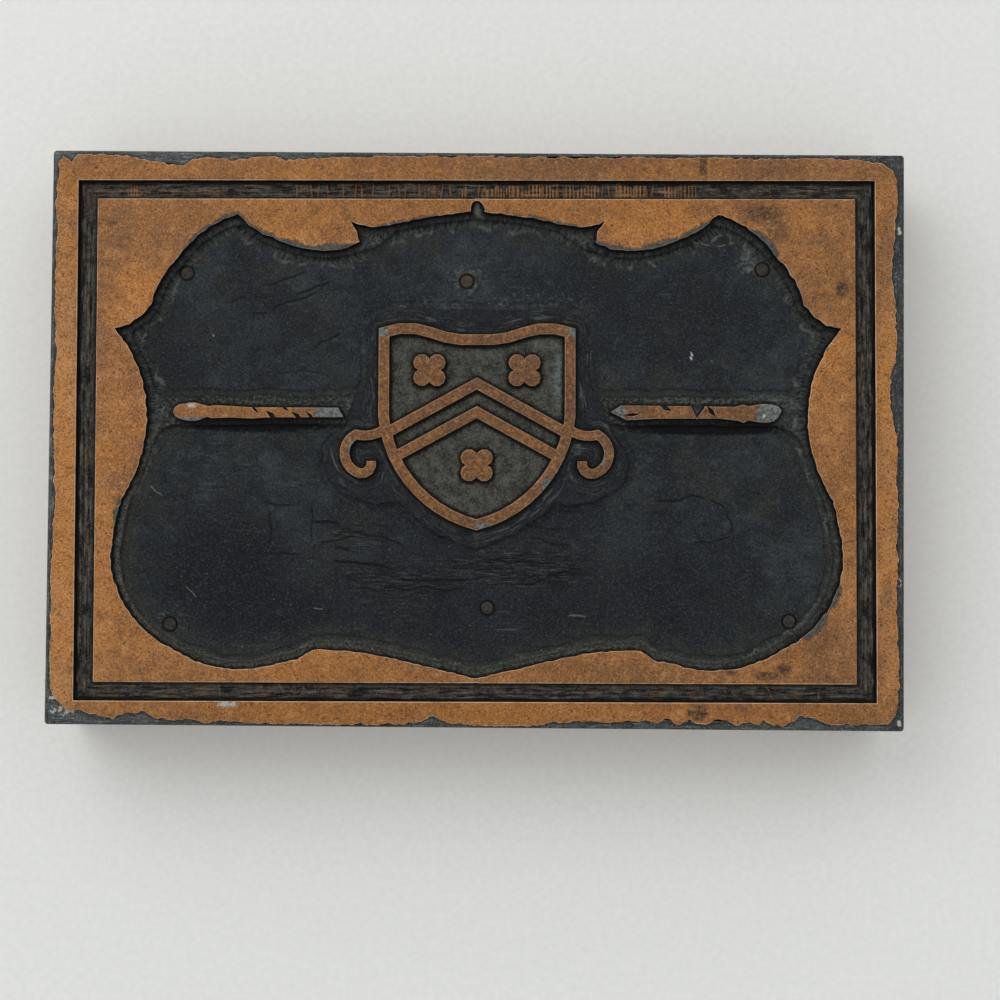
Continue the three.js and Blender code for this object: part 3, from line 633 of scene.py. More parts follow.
def inked_floor_finish():
    """The routed floor and walls: lead under old ink, with scrapes, haze and cutter lines, painted
    shade along the walls, at the feet of steps and strokes, below the bars and round the brads, and
    painted light on the lower walls.
    """
    material, tree, shader = new_finish("inked_lead", 0.65, metallic=0.0, specular=0.1)
    wall = measure(tree, "wall_gap")
    step = measure(tree, "step_gap")
    brad = measure(tree, "brad_gap")
    clouds = spread(tree, mottle(tree, 15, 5, 0.65), 0.38, 0.62)
    ground = blend(tree, clouds, ink_deep, ink_blue)
    drift = mottle(tree, 3.4, 5, 0.7, shift=(0.1, 0.4, 0))
    ground = tint(tree, ground, drift, (0.52, 0.68, 0.6, ink_cloud), (0.48, 0.34, 0.75, ink_thick))
    olive = mottle(tree, 6, 4, 0.65, shift=(0.7, 0.2, 0))
    ground = tint(tree, ground, olive, (0.5, 0.68, 0.45, ink_olive))
    ground = blend(tree, measure(tree, "thick_ink"), ground, ink_thick)
    ragged = times(tree, mottle(tree, 2.6, 4, 0.7), 6.0)
    step_share = spread(tree, plus(tree, step, ragged), 2.8, 5.6, 0.45, 0)
    ground = blend(tree, step_share, ground, foot_olive)
    by_edge = spread(tree, plus(tree, wall, ragged), 9.0, 4.0, 0, 0.4)
    low_half = spread(tree, measure(tree, "wall_dark"), 0.95, 0.55, 0.2, 1)
    ground = blend(tree, times(tree, by_edge, low_half), ground, edge_olive)
    coarse = mottle(tree, 0.6, 4, 0.8, shift=(0.2, 0.9, 0))
    on_web = measure(tree, "on_web")
    ground = tint(
        tree,
        ground,
        coarse,
        (0.51, 0.59, 0.75, web_pale),
        (0.48, 0.4, 0.85, ink_and_shade_black),
        where=on_web,
    )
    rust = rough_patch(tree, measure(tree, "rust"), 1.0, 0.3, 0.9)
    ground = blend(tree, rust, ground, rust_dust)
    haze = rough_patch(tree, measure(tree, "haze"), 0.8, 0.3, 1.0)
    ground = blend(tree, haze, ground, haze_pale)
    grain = mottle(tree, 0.34, 4, 0.8)
    ground = tint(tree, ground, grain, (0.53, 0.64, 0.5, ink_dry), (0.48, 0.38, 0.75, ink_and_shade_black))
    sparks = mottle(tree, 0.5, 2, 0.5, shift=(0.6, 0.6, 0))
    ground = tint(tree, ground, sparks, (0.69, 0.74, 0.6, haze_pale))
    rubs = spread(tree, mottle(tree, 11, 4, 0.6, shift=(0.9, 0.3, 0)), 0.48, 0.62, 0.1, 1.0)
    brushed = mottle(tree, 0.45, 3, 0.7, stretch=(0.1, 1, 1), turn=6, distortion=0.3)
    ground = tint(
        tree,
        ground,
        brushed,
        (0.56, 0.72, 0.5, ink_dry),
        (0.44, 0.3, 0.6, ink_and_shade_black),
        where=rubs,
    )
    scoured = measure(tree, "scoured")
    hairlines = mottle(tree, 0.2, 4, 0.8, stretch=(0.07, 1, 1), turn=3, distortion=0.3)
    ground = tint(
        tree,
        ground,
        hairlines,
        (0.56, 0.64, 0.75, hair_pale),
        (0.49, 0.43, 1, soot_black),
        where=scoured,
    )
    wall_lay = measure(tree, "wall_lay", "Vector")
    chisel = lay_mottle(tree, wall_lay, (3.2, 3.2, 0.9), 4, 0.75)
    torn = spread(tree, lay_mottle(tree, wall_lay, (0.8, 0.8, 0.2)), 0.3, 0.7, -0.5, 0.5)
    # the wall band below is partly ink and partly painted shade: it reaches farther and is darker
    # in the upper half, where the walls face away from the lamp
    darkness = measure(tree, "wall_dark")
    wide = plus(tree, darkness, 0.12)
    reach = reckon(tree, "DIVIDE", plus(tree, wall, torn), wide)
    frayed = plus(tree, reach, spread(tree, chisel, 0.3, 0.7, 0.5, -0.5))
    scored = blend(tree, spread(tree, chisel, 0.43, 0.57), wall_black, wall_grey)
    ground = tint(tree, ground, frayed, (2.3, 1.5, 0.8, scored))
    # painted light: a paler band along the lower walls, which face the lamp, mixed with the grain
    low_walls = spread(tree, darkness, 0.9, 0.5)
    pale_band = times(tree, spread(tree, wall, 1.9, 1.2), low_walls)
    pale = blend(tree, spread(tree, grain, 0.42, 0.58), band_dark, band_pale)
    ground = blend(tree, times(tree, pale_band, 0.8), ground, pale)
    ridge = times(tree, spread(tree, reach, 2.0, 2.3), spread(tree, reach, 2.9, 2.5))
    seen = spread(tree, lay_mottle(tree, wall_lay, (0.35, 0.35, 0), 3, 0.7), 0.48, 0.6, 0, 0.8)
    ground = blend(tree, times(tree, ridge, seen), ground, ridge_pale)
    # painted shade: black at the foot of the cartouche wall and in its corner, over the ink
    ground = tint(tree, ground, frayed, (0.95, 0.45, 0.55, ink_and_shade_black))
    ground = tint(tree, ground, wall, (0.36, 0.16, 0.85, corner_shade_black))
    jitter = spread(tree, grain, 0.3, 0.7, -0.2, 0.2)
    # painted shade: a dark line at the foot of each step in the floor
    foot_line = spread(tree, plus(tree, step, jitter), 0.4, 0.1, 0, 0.45)
    ground = blend(tree, foot_line, ground, ink_and_shade_black)
    # painted shade: black in the crevice at the foot of the crest and bar strokes
    raised_foot = plus(tree, measure(tree, "raised_gap"), jitter)
    crevice = spread(tree, raised_foot, 0.9, 0.3, 0, 0.85)
    ground = blend(tree, crevice, ground, crevice_shade_black)
    # painted shadow: black laid on the floor just below each bar
    soot = rough_patch(tree, measure(tree, "soot"), 0.6, 0.2, 0.8)
    ground = blend(tree, times(tree, soot, 0.95), ground, soot_black)
    # painted shade: a dark ring on the floor round each brad head
    ring = times(tree, spread(tree, brad, 0.35, 0.15), spread(tree, brad, -0.1, 0.05))
    ground = blend(tree, times(tree, ring, 0.85), ground, shade_black)
    cut = times(tree, measure(tree, "cut_share"), 0.85)
    ground = blend(tree, cut, ground, cut_black)
    scraped = spread(tree, plus(tree, measure(tree, "scrape"), jitter), 0.35, 0.8, 0, 0.52)
    ground = blend(tree, scraped, ground, scrape_pale)
    ground = blend(tree, rough_patch(tree, measure(tree, "chip"), 0.4), ground, silver)
    tree.links.new(ground, shader.inputs["Base Color"])
    bump = relief(tree, mottle(tree, 2.2, 4, 0.7), 0.22)
    bump = relief(tree, grain, 0.11, bump)
    bump = relief(tree, chisel, 0.05, bump)
    tree.links.new(bump, shader.inputs["Normal"])
    gloss = spread(tree, drift, 0.35, 0.65, 0.48, 0.7)
    tree.links.new(gloss, shader.inputs["Roughness"])
    return material


lead = copy_of_solid("backing_metal", "lead_plate")
border_outline = outline_points(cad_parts["border_shell"], face_level)
outline_x, outline_y = (np.abs(c) for c in in_border_frame(border_outline))
in_panel = (outline_x < channel_inner[0] - 0.2) & (outline_y < channel_inner[1] - 0.15)
at_plate_edge = (outline_x > channel_outer[0] + 0.3) | (outline_y > channel_outer[1] + 0.3)
cartouche_outline = border_outline[in_panel]
rim_outline = border_outline[at_plate_edge]
web_outline = outline_points(lead, field_level)
raised_nodes = [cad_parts[name + "_shell"] for name in ("crest", "left_bar", "right_bar")]
raised_outline = np.concatenate([outline_points(solid, face_level) for solid in raised_nodes])
nails = sorted(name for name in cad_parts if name.startswith("nail"))
brad_places = np.array([np.mean(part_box(name), axis=0)[:2] / MM for name in nails])


def in_field(places):
    """Picks what lies within the cleared cartouche: its floor, web and walls."""
    inside = (np.abs(places[:, 0]) < field_half[0]) & (np.abs(places[:, 1]) < field_half[1])
    return inside & (places[:, 2] < lead_top - 0.01) & (places[:, 2] > below_pools)


def in_sight(middles, normals):
    """Picks the lead that shows from above: the cartouche, and the margin round the copper."""
    across_x, across_y = (np.abs(c) for c in in_border_frame(middles))
    outside = (across_x > channel_outer[0] + 0.4) | (across_y > channel_outer[1] + 0.4)
    return in_field(middles) | (outside & (middles[:, 2] > lead_top - 0.4))


def near_a_cut(middles, normals):
    """Picks the floor round the cuts and scrapes."""
    gaps = [gap_to_cut(middles, cut)[0] for cut in floor_cuts + floor_scrapes]
    return in_field(middles) & (np.min(gaps, axis=0) < 0.5)


def near_wall(middles, normals):
    """Picks the floor and wall along the cartouche's edge."""
    return in_field(middles) & (nearest_on(middles, cartouche_outline)[0] < 2.2)


square_up(lead, plate_spacing, (0, 1), lambda middles, normals: middles[:, 2] > lead_top - 0.01)
square_up(lead, floor_spacing, (0, 1), in_sight)
split_squares(lead, 1, in_sight)
split_squares(lead, 1, near_wall)
split_squares(lead, 2, near_a_cut)
mend_faces(lead)
lead_points = points_of(lead)
wall_gap, wall_spot = nearest_on(lead_points, cartouche_outline)
raised_gap = nearest_on(lead_points, raised_outline)[0]
step_gap = nearest_on(lead_points, web_outline)[0]
brad_gap = np.min([np.hypot(*(lead_points[:, :2] - place).T) for place in brad_places], axis=0)
brad_gap -= brad_head
floor_share = in_field(lead_points).astype(float)
chisel_lay = np.column_stack([wall_spot, wall_gap * 0.25])
by_wall = smooth_step(2.6, 1.0, wall_gap)
lumps = 0.16 * uneven(chisel_lay, 0.8, 3) + 0.10 * uneven(lead_points, 1.6, 4)
roll = 0.08 * uneven(lead_points, 9, 5) + 0.05 * uneven(lead_points, 2.5, 6)
ribbed_place = smooth_step(26, 14, np.hypot(lead_points[:, 0] + 2, (lead_points[:, 1] + 21) * 2.2))
ribbed = uneven(lead_points * np.array([0.09, 1.6, 1]), 1.0, 7)
bent_points = lead_points + np.pad(0.35 * wander(lead_points, 3.5, 61), ((0, 0), (0, 1)))
sink = np.zeros(len(lead_points))
for cut in floor_cuts:
    gap, share = gap_to_cut(bent_points, cut)
    taper = smooth_step(0, 0.15, share) * smooth_step(1, 0.8, share)
    sink = np.maximum(sink, cut[5] * taper * smooth_step(cut[4] * 1.3, 0.04, gap))
scrape = np.zeros(len(lead_points))
for cut in floor_scrapes:
    gap, share = gap_to_cut(bent_points, cut)
    taper = smooth_step(0, 0.2, share) * smooth_step(1, 0.7, share)
    scrape = np.maximum(scrape, taper * smooth_step(cut[4], 0, gap))
lift = floor_share * (roll + by_wall * lumps + 0.05 * ribbed_place * ribbed - sink)
low_points = (lead_points[:, 2] < field_level + 0.03) & (floor_share > 0)
moved = low_points | ((wall_gap < 0.6) & (lead_points[:, 2] > below_pools))
drift = routed_drift(lead_points, wall_gap, raised_gap) * moved[:, None]
on_web = floor_share * smooth_step(field_level - 0.5, field_level - 0.2, lead_points[:, 2])
lead_points[:, 2] += lift
lead_points[:, :2] += drift
move_points(lead, lead_points)
rim_gap = nearest_on(lead_points, rim_outline)[0]
border_x, border_y = (np.abs(c) for c in in_border_frame(lead_points))
upper = smooth_step(-6, 6, lead_points[:, 1])
lower_right = smooth_step(30, 56, lead_points[:, 0]) * 0.35
lower_middle = smooth_step(36, 20, np.abs(lead_points[:, 0])) * 0.15
give_lay(lead, "wall_lay", wall_spot, wall_gap)
give_measures(
    lead,
    on_end=border_x - channel_outer[0] > border_y - channel_outer[1],
    rim_gap=rim_gap,
    grime=0.55 * smooth_step(70, 74, lead_points[:, 0]),
    chip=patch_strength(lead_points, lead_chips),
    wall_gap=wall_gap,
    # painted shade on the cartouche walls: full in the upper half, less in the lower half, a little
    # more to the lower right and middle
    wall_dark=upper + (1 - upper) * (0.35 + lower_right + lower_middle),
    step_gap=step_gap,
    raised_gap=raised_gap,
    brad_gap=brad_gap,
    cut_share=np.clip(sink / 0.06, 0, 1),
    scoured=patch_strength(lead_points, scoured_patches),
    scrape=scrape,
    thick_ink=patch_strength(lead_points, thick_ink_patches),
    haze=patch_strength(lead_points, haze_patches),
    rust=patch_strength(lead_points, rust_patches),
    soot=patch_strength(lead_points, soot_patches),
    on_web=on_web,
)
round_off(lead, 40)
lead.data.materials.append(bare_lead_finish())
lead.data.materials.append(inked_floor_finish())
inked_faces = in_field(faces_of(lead)[0])
lead.data.polygons.foreach_set("material_index", inked_faces.astype(np.int32))
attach(lead, BODY)
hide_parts("backing_metal")

# Copper border. The face of the plate is a skin of copper grown in a bath, 0.3 mm thick. It runs
# in one sheet over the rim, down through the sunk border and over the panel. Proofing and cleaning
# have worn it ragged along the plate's edges and through to the lead beside the cartouche.
copper_spacing = 1.0
edge_round = 0.12
nibble = 0.3
rim_half = (73.4, 48.6)
tooth_pitch = 0.62
chatter_span = (-45.0, 53.5)
top_channel = 42.8
# Stands for a foot or a groove that a piece doesn't have.
far_off = 9.0
copper_mid = (151, 102, 58)
copper_brown = (124, 84, 51)
copper_orange = (168, 109, 48)
copper_deep = (90, 58, 33)
copper_light = (200, 146, 92)
copper_fresh = (154, 98, 38)
copper_speck = (52, 36, 25)
copper_stain = (76, 60, 49)
# painted highlight on the lips of the copper and of bare lead, partly worn-bright metal
copper_lip_highlight = (226, 190, 158)
lead_lip_highlight = (134, 132, 124)
worn_dark = (52, 50, 47)
worn_grey = (84, 81, 75)
core_dark = (62, 64, 64)
core_grey = (114, 116, 113)
channel_dark = (29, 29, 28)
channel_grey = (66, 65, 61)
channel_brown = (84, 62, 43)
channel_pale = (98, 93, 84)
channel_black = (12, 11, 10)
streak_black = (11, 10, 10)
streak_pale = (104, 96, 84)
shield_dark = (41, 42, 40)
shield_grey = (74, 75, 68)
tick_copper = (150, 106, 66)
wall_copper = (132, 92, 58)
# painted shade on the panel's side of the channel
panel_side_shade = (14, 13, 12)
# Where the copper beside the cartouche has worn through: x, y, reach, and width of the band.
worn_stretches = [
    (-49.7, 36.2, 5, 0.3),
    (-44.0, 39.0, 5, 0.4),
    (-38.5, 37.0, 5, 0.5),
    (-31.8, 34.2, 5, 0.75),
    (-26.0, 33.4, 4.5, 0.95),
    (25.5, 34.2, 5, 0.65),
    (32.6, 34.8, 5, 0.85),
    (38.5, 37.2, 4, 0.75),
    (51.4, 35.2, 4, 0.9),
    (64.5, -28.0, 3, 0.8),
    (61.0, -33.5, 4, 1.1),
    (-66.0, -13.0, 5, 0.5),
    (13.0, 41.0, 9, 0.25),
    (-12.0, 41.0, 9, 0.25),
]
# Dark stains on the copper: x, y, half width, half height and strength.
stains = [
    (40.1, 48.8, 0.9, 1.9, 0.9),
    (39.6, -48.1, 2.0, 1.6, 0.9),
    (47.2, -47.4, 1.2, 1.0, 0.6),
    (45.5, -40.6, 1.4, 1.2, 0.7),
    (51.6, -41.6, 2.6, 0.9, 0.85),
    (54.6, -40.4, 1.6, 1.2, 0.75),
    (64.8, 27.1, 1.3, 1.5, 0.9),
    (-65.4, 38.2, 0.8, 0.7, 0.9),
    (-63.6, 34.4, 2.4, 2.0, 0.45),
    (-57.6, 35.4, 2.0, 2.2, 0.4),
    (-65.6, -32.0, 0.9, 0.8, 0.5),
    (-58.4, -41.3, 1.2, 1.0, 0.35),
    (-68.2, 48.0, 0.5, 0.4, 0.8),
    (33.9, 40.7, 0.35, 0.3, 1.0),
    (67.0, -30.5, 0.8, 0.8, 0.5),
    (72.8, -27.0, 0.9, 2.2, 0.5),
    (40.6, 41.3, 3.0, 1.5, 0.5),
    (51.0, 40.6, 4.5, 2.0, 0.7),
    (53.5, 37.5, 3.0, 2.5, 0.6),
    (60.6, 35.8, 3.0, 1.0, 0.5),
    (61.2, 41.0, 2.5, 1.2, 0.35),
    (73.0, 33.0, 1.2, 7.0, 0.3),
    (52.0, 45.0, 22.0, 5.0, 0.24),
    (60.0, 30.0, 9.0, 12.0, 0.2),
    (30.0, 48.8, 46.0, 3.6, 0.44),
    (-6.0, 48.8, 26.0, 3.6, 0.46),
    (-54.0, 48.8, 30.0, 3.6, 0.32),
    (0.0, 41.4, 30.0, 3.0, 0.32),
    (-30.0, 40.0, 16.0, 4.0, 0.22),
    (68.5, 0.0, 3.0, 44.0, 0.14),
    (-67.5, 0.0, 3.0, 44.0, 0.12),
    (0.0, -48.4, 90.0, 3.2, 0.26),
    (62.0, -48.4, 16.0, 3.2, 0.22),
    (-60.0, -48.4, 18.0, 3.2, 0.34),
    (-10.0, -41.5, 70.0, 3.4, 0.24),
    (62.0, -38.0, 9.0, 7.0, 0.34),
    (-56.0, 38.0, 18.0, 8.0, 0.22),
]
rubbed_places = [
    (-73.3, -14.0, 3.0, 46.0, 0.42),
    (-67.0, -26.0, 3.0, 22.0, 0.3),
    (67.0, -24.0, 3.0, 16.0, 0.15),
    (74.0, -8.0, 2.4, 44.0, 0.3),
]
fresh_places = [
    (4.0, -48.4, 60.0, 3.0, 0.85),
    (6.0, 41.2, 40.0, 3.0, 0.6),
    (73.2, 12.0, 1.6, 9.0, 0.55),
    (-28.0, 41.0, 26.0, 5.0, 0.4),
    (-10.0, -41.0, 30.0, 3.0, 0.3),
    (-40.0, 48.5, 40.0, 3.0, 0.3),
]
# Light scratches on the copper: from x, y to x, y. Then one bright bruise in the same form as
# the chips in the lead.
copper_scratches = [
    (34.2, -48.8, 39.6, -47.1),
    (32.6, -43.0, 33.6, -41.5),
]
copper_bruise = (-43.7, -47.35, 2.1, 0.55, 0.68)
# Stretches of the top channel where the cutter chattered: from x to x, and how bright.
chatter_runs = [
    (-62.4, -60.1, 0.7),
    (-44.0, -38.5, 0.25),
    (-31.9, -29.0, 0.7),
    (-22.0, -7.0, 0.5),
    (-7.0, 35.0, 1.0),
    (35.0, 39.5, 0.6),
    (51.0, 53.0, 0.5),
]
# Brown lines that the cutter left along the channel: from x, y to x, y.
channel_rubs = [
    (-69.6, 43.9, -44.8, 44.1),
    (-69.5, 27.0, -69.4, 12.0),
    (-69.5, -2.0, -69.3, -9.0),
    (-68.9, -14.0, -68.7, -26.0),
    (68.7, 20.0, 68.8, 8.0),
    (-35.5, -42.6, -33.0, -45.9),
    (-22.0, -43.4, -16.0, -43.6),
    (-45.4, -42.6, -45.1, -46.4),
    (-30.4, -42.9, -30.2, -46.2),
    (44.4, -42.8, 44.7, -46.4),
    (51.6, -43.2, 53.0, -45.6),
    (61.0, -42.7, 60.8, -46.2),
]


def ease_edges(piece, level, width):
    """Bevels the sharp edges that a solid has at one height."""
    shape = bmesh.new()
    shape.from_mesh(piece.data)
    for part in [*shape.faces, *shape.edges, *shape.verts]:
        part.select = False
    for edge in shape.edges:
        heights = [v.co.z / MM for v in edge.verts]
        slopes = [face.normal.z for face in edge.link_faces]
        if max(abs(h - level) for h in heights) < 0.02 and min(slopes) < 0.9:
            edge.select = True
    shape.to_mesh(piece.data)
    shape.free()
    only(piece)
    bpy.context.tool_settings.mesh_select_mode = (False, True, False)
    bpy.ops.object.mode_set(mode="EDIT")
    bpy.ops.mesh.bevel(offset=width * MM, segments=2, profile=0.6, clamp_overlap=False)
    bpy.ops.object.mode_set(mode="OBJECT")


def copper_finish():
    """Grown copper, stained and worn to lead, inked below the face, with a painted highlight on the
    lips that is partly worn-bright copper.
    """
    material, tree, shader = new_finish("worn_copper", 0.5, metallic=0.55, specular=0.3)
    worn = measure(tree, "worn")
    height = node(tree, "SeparateXYZ", {0: surface_place(tree)}).outputs["Z"]
    clouds = spread(tree, mottle(tree, 18, 5, 0.65), 0.38, 0.62)
    ground = blend(tree, clouds, copper_brown, copper_mid)
    ground = blend(tree, measure(tree, "fresh"), ground, copper_fresh)
    ground = blend(tree, measure(tree, "rubbed"), ground, copper_light)
    orange = mottle(tree, 20, 5, 0.65, shift=(0.3, 0.8, 0))
    ground = tint(tree, ground, orange, (0.48, 0.58, 0.6, copper_orange))
    middle_size = mottle(tree, 2.4, 5, 0.72, shift=(0.4, 0, 0))
    ground = tint(
        tree, ground, middle_size, (0.51, 0.66, 0.42, copper_light), (0.48, 0.34, 0.5, copper_deep)
    )
    grain = mottle(tree, 0.3, 4, 0.8, distortion=0.8)
    ground = tint(
        tree, ground, grain, (0.52, 0.6, 0.55, copper_light), (0.48, 0.4, 0.8, copper_deep)
    )
    pits = mottle(tree, 0.5, 2, 0.6, shift=(0.1, 0.7, 0.2))
    ground = tint(tree, ground, pits, (0.61, 0.67, 0.65, copper_speck))
    ragged = spread(tree, mottle(tree, 0.8, 4, 0.75), 0.36, 0.6, 0.3, 1.15)
    stain = times(tree, measure(tree, "stain"), ragged)
    ground = blend(tree, stain, ground, copper_stain)
    deep_stain = spread(tree, measure(tree, "stain"), 0.5, 0.75)
    soiled = times(tree, deep_stain, spread(tree, pits, 0.46, 0.54))
    ground = blend(tree, times(tree, soiled, 0.7), ground, copper_speck)
    ground = blend(tree, measure(tree, "scratch"), ground, copper_light)
    fray = spread(tree, mottle(tree, 0.9, 3, 0.5, shift=(0, 0.3, 0)), 0.25, 0.75, -0.3, 0.3)
    frayed = plus(tree, worn, fray)
    bare = spread(tree, frayed, -0.05, 0.05)
    grey_mottle = spread(tree, mottle(tree, 0.5, 4, 0.75), 0.38, 0.62)
    grey = blend(tree, grey_mottle, worn_dark, worn_grey)
    core = blend(tree, grey_mottle, core_dark, core_grey)
    grey = blend(tree, spread(tree, measure(tree, "foot_gap"), 6.0, 5.0), grey, core)
    thin_edge = spread(tree, frayed, -0.22, -0.08)
    thin = times(tree, thin_edge, spread(tree, frayed, 0.0, -0.05))
    ground = blend(tree, times(tree, thin, 0.6), ground, copper_speck)
    ground = blend(tree, bare, ground, grey)
    # painted highlight along the lips, partly worn-bright copper, broken up and dimmed where
    # dull_lip is set
    broken = spread(tree, middle_size, 0.4, 0.55, 0.55, 1.0)
    below_face = spread(tree, height, (face_level - 0.005) * MM, (face_level - 0.03) * MM)
    lip = times(tree, below_face, broken)
    lip = times(tree, lip, spread(tree, measure(tree, "dull_lip"), 0, 1, 1, 0.3))
    ground = blend(tree, lip, ground, blend(tree, bare, copper_lip_highlight, lead_lip_highlight))
    chip = rough_patch(tree, measure(tree, "chip"), 0.4)
    ground = blend(tree, chip, ground, silver)
    ink = spread(tree, height, (face_level - 0.11) * MM, (face_level - 0.22) * MM)
    ground = blend(tree, ink, ground, inked_low_ground(tree, height))
    tree.links.new(ground, shader.inputs["Base Color"])
    uninked = spread(tree, ink, 0, 1, 1, 0)
    bright = times(tree, uninked, spread(tree, bare, 0, 1, 0.55, 0.3))
    tree.links.new(bright, shader.inputs["Metallic"])
    bump = relief(tree, mottle(tree, 4, 3, 0.55), 0.07)
    bump = relief(tree, grain, 0.05, bump)
    tree.links.new(bump, shader.inputs["Normal"])
    gloss = spread(tree, middle_size, 0.3, 0.7, 0.42, 0.6)
    tree.links.new(gloss, shader.inputs["Roughness"])
    shine = spread(tree, ink, 0, 1, 0.3, 0.1)
    tree.links.new(shine, shader.inputs["Specular IOR Level"])
    return material


def inked_low_ground(tree, height):
    """Ink in the border and between the strokes, rubbed through to copper on the high lines, with
    painted shade along the channel walls and at the feet of the strokes.
    """
    across = measure(tree, "groove_across")
    foot = measure(tree, "foot_gap")
    along = measure(tree, "groove_along")
    lay = node(tree, "CombineXYZ", {"X": across, "Y": along}).outputs["Vector"]
    streaks = lay_mottle(tree, lay, (2.0, 0.22, 1), 5, 0.75)
    patches = mottle(tree, 2.0, 5, 0.72)
    in_border = spread(tree, across, 5.0, 4.0)
    floor = blend(tree, spread(tree, patches, 0.4, 0.6), channel_dark, channel_grey)
    browned = spread(tree, mottle(tree, 3.6, 4, 0.65, shift=(0.2, 0.6, 0)), 0.5, 0.66, 0, 0.7)
    on_long_side = spread(tree, along, 160, 150, 0.3, 1)
    floor = blend(tree, times(tree, browned, on_long_side), floor, channel_brown)
    crest_ground = blend(tree, spread(tree, patches, 0.38, 0.62), shield_dark, shield_grey)
    floor = blend(tree, in_border, crest_ground, floor)
    grain = mottle(tree, 0.32, 4, 0.8, shift=(0.3, 0.3, 0))
    floor = tint(
        tree, floor, grain, (0.51, 0.63, 0.6, channel_pale), (0.48, 0.37, 0.75, channel_black)
    )
    floor = tint(
        tree,
        floor,
        streaks,
        (0.48, 0.42, 0.92, streak_black),
        (0.54, 0.62, 0.7, streak_pale),
        where=in_border,
    )
    beyond = measure(tree, "beyond_crest")
    dark_ground = blend(tree, spread(tree, patches, 0.36, 0.64), ink_thick, ink_deep)
    rings = lay_mottle(tree, measure(tree, "foot_lay", "Vector"), (0.3, 0.3, 2.6), 4, 0.7)
    ringed = spread(tree, foot, 3.4, 1.6)
    dark_ground = tint(
        tree,
        dark_ground,
        rings,
        (0.52, 0.66, 0.75, ridge_pale),
        (0.46, 0.34, 0.8, ink_and_shade_black),
        where=ringed,
    )
    dark_ground = tint(
        tree, dark_ground, grain, (0.52, 0.66, 0.45, ink_dry), (0.48, 0.36, 0.6, ink_and_shade_black)
    )
    floor = blend(tree, beyond, floor, dark_ground)
    haze = rough_patch(tree, measure(tree, "haze"), 0.8, 0.3, 1.0)
    floor = blend(tree, haze, floor, haze_pale)
    tick = measure(tree, "tick")
    ticked = roughen(tree, tick, grain, 0.12)
    floor = tint(tree, floor, ticked, (0.2, 0.8, 0.85, tick_copper))
    high = spread(tree, height, (face_level - 1.0) * MM, low_ground * MM, 0, 0.6)
    low_lying = spread(tree, height, (face_level - 0.8) * MM, (face_level - 0.88) * MM)
    floor = blend(tree, times(tree, high, low_lying), floor, wall_copper)
    # painted shade: black along the outer wall of the border channel
    shade = spread(tree, roughen(tree, across, streaks, 0.3), 1.0, 0.5)
    floor = blend(tree, times(tree, shade, 0.92), floor, shade_black)
    # painted shade along the inner wall of the channel, by the panel
    inner = roughen(tree, across, streaks, 0.25)
    by_panel = times(tree, spread(tree, inner, 2.75, 3.1), in_border)
    floor = blend(tree, times(tree, by_panel, 0.7), floor, panel_side_shade)
    # painted shade: black in the crevice at the foot of the strokes
    foot_shade = spread(tree, roughen(tree, foot, grain, 0.2), 0.95, 0.35)
    return blend(tree, times(tree, foot_shade, 0.92), floor, crevice_shade_black)


def at_rim(middles, normals):
    """Picks the outermost copper, where its edge is ragged."""
    by_edge = (np.abs(middles[:, 0]) > rim_half[0]) | (np.abs(middles[:, 1]) > rim_half[1])
    return by_edge & upward(middles, normals)


def in_groove(middles, normals):
    """Picks the floor and walls of the border channel."""
    across_x, across_y = (np.abs(c) for c in in_border_frame(middles))
    outside_panel = (across_x > channel_inner[0]) | (across_y > channel_inner[1])
    return outside_panel & (middles[:, 2] < wall_foot) & upward(middles, normals)


def in_chatter(middles, normals):
    """Picks the part of the top channel where the cutter chattered."""
    in_run = (middles[:, 0] > chatter_span[0]) & (middles[:, 0] < chatter_span[1])
    return in_run & (middles[:, 1] > top_channel) & in_groove(middles, normals)


copper = copper_finish()
border = copy_of_solid("border_shell", "copper_border")
ease_edges(border, face_level, edge_round)
square_up(border, copper_spacing, (0, 1), upward)
for wanted in (upward, at_rim, in_groove, in_chatter):
    split_squares(border, 1, wanted)
mend_faces(border)
border_points = points_of(border)
edge_gap = nearest_on(border_points, cartouche_outline)[0]
band = np.full(len(border_points), -1.0)
for x, y, reach, width in worn_stretches:
    near = smooth_step(1.6, 0.3, np.hypot(border_points[:, 0] - x, border_points[:, 1] - y) / reach)
    band = np.maximum(band, width * near - (1 - near))
border_x, border_y = in_border_frame(border_points)
across_end = channel_outer[0] - np.abs(border_x)
across_side = channel_outer[1] - np.abs(border_y)
across = np.minimum(across_end, across_side)
on_end = across_end < across_side
along = np.where(on_end, border_y + 300, border_x)
flat_points = border_points * np.array([1, 1, 0])
floor_points = (across > 0.2) & (across < 3.6) & (border_points[:, 2] < low_ground)
comb_place = np.column_stack([border_x, np.zeros(len(border_x)), np.zeros(len(border_x))])
teeth_phase = border_x / tooth_pitch + 0.9 * uneven(comb_place, 2.6, 51)
comb = smooth_step(0.35, 0.75, 0.5 + 0.5 * np.sin(2 * math.pi * teeth_phase))
groups = smooth_step(-0.35, 0.2, uneven(comb_place, 2.4, 52))
tooth_end = 0.7 + 1.1 * np.clip(2.2 * uneven(comb_place, 1.3, 53), 0, 1)
tooth_length = smooth_step(tooth_end - 0.15, tooth_end + 0.15, across)
tooth_length *= smooth_step(3.2, 2.8, across)
rail_across = 2.3 + 0.5 * uneven(comb_place, 5.0, 55)
rail = smooth_step(0.3, 0.1, np.abs(across - rail_across))
rail *= smooth_step(-0.1, 0.2, uneven(comb_place, 3.5, 56))
chatter = np.zeros(len(border_points))
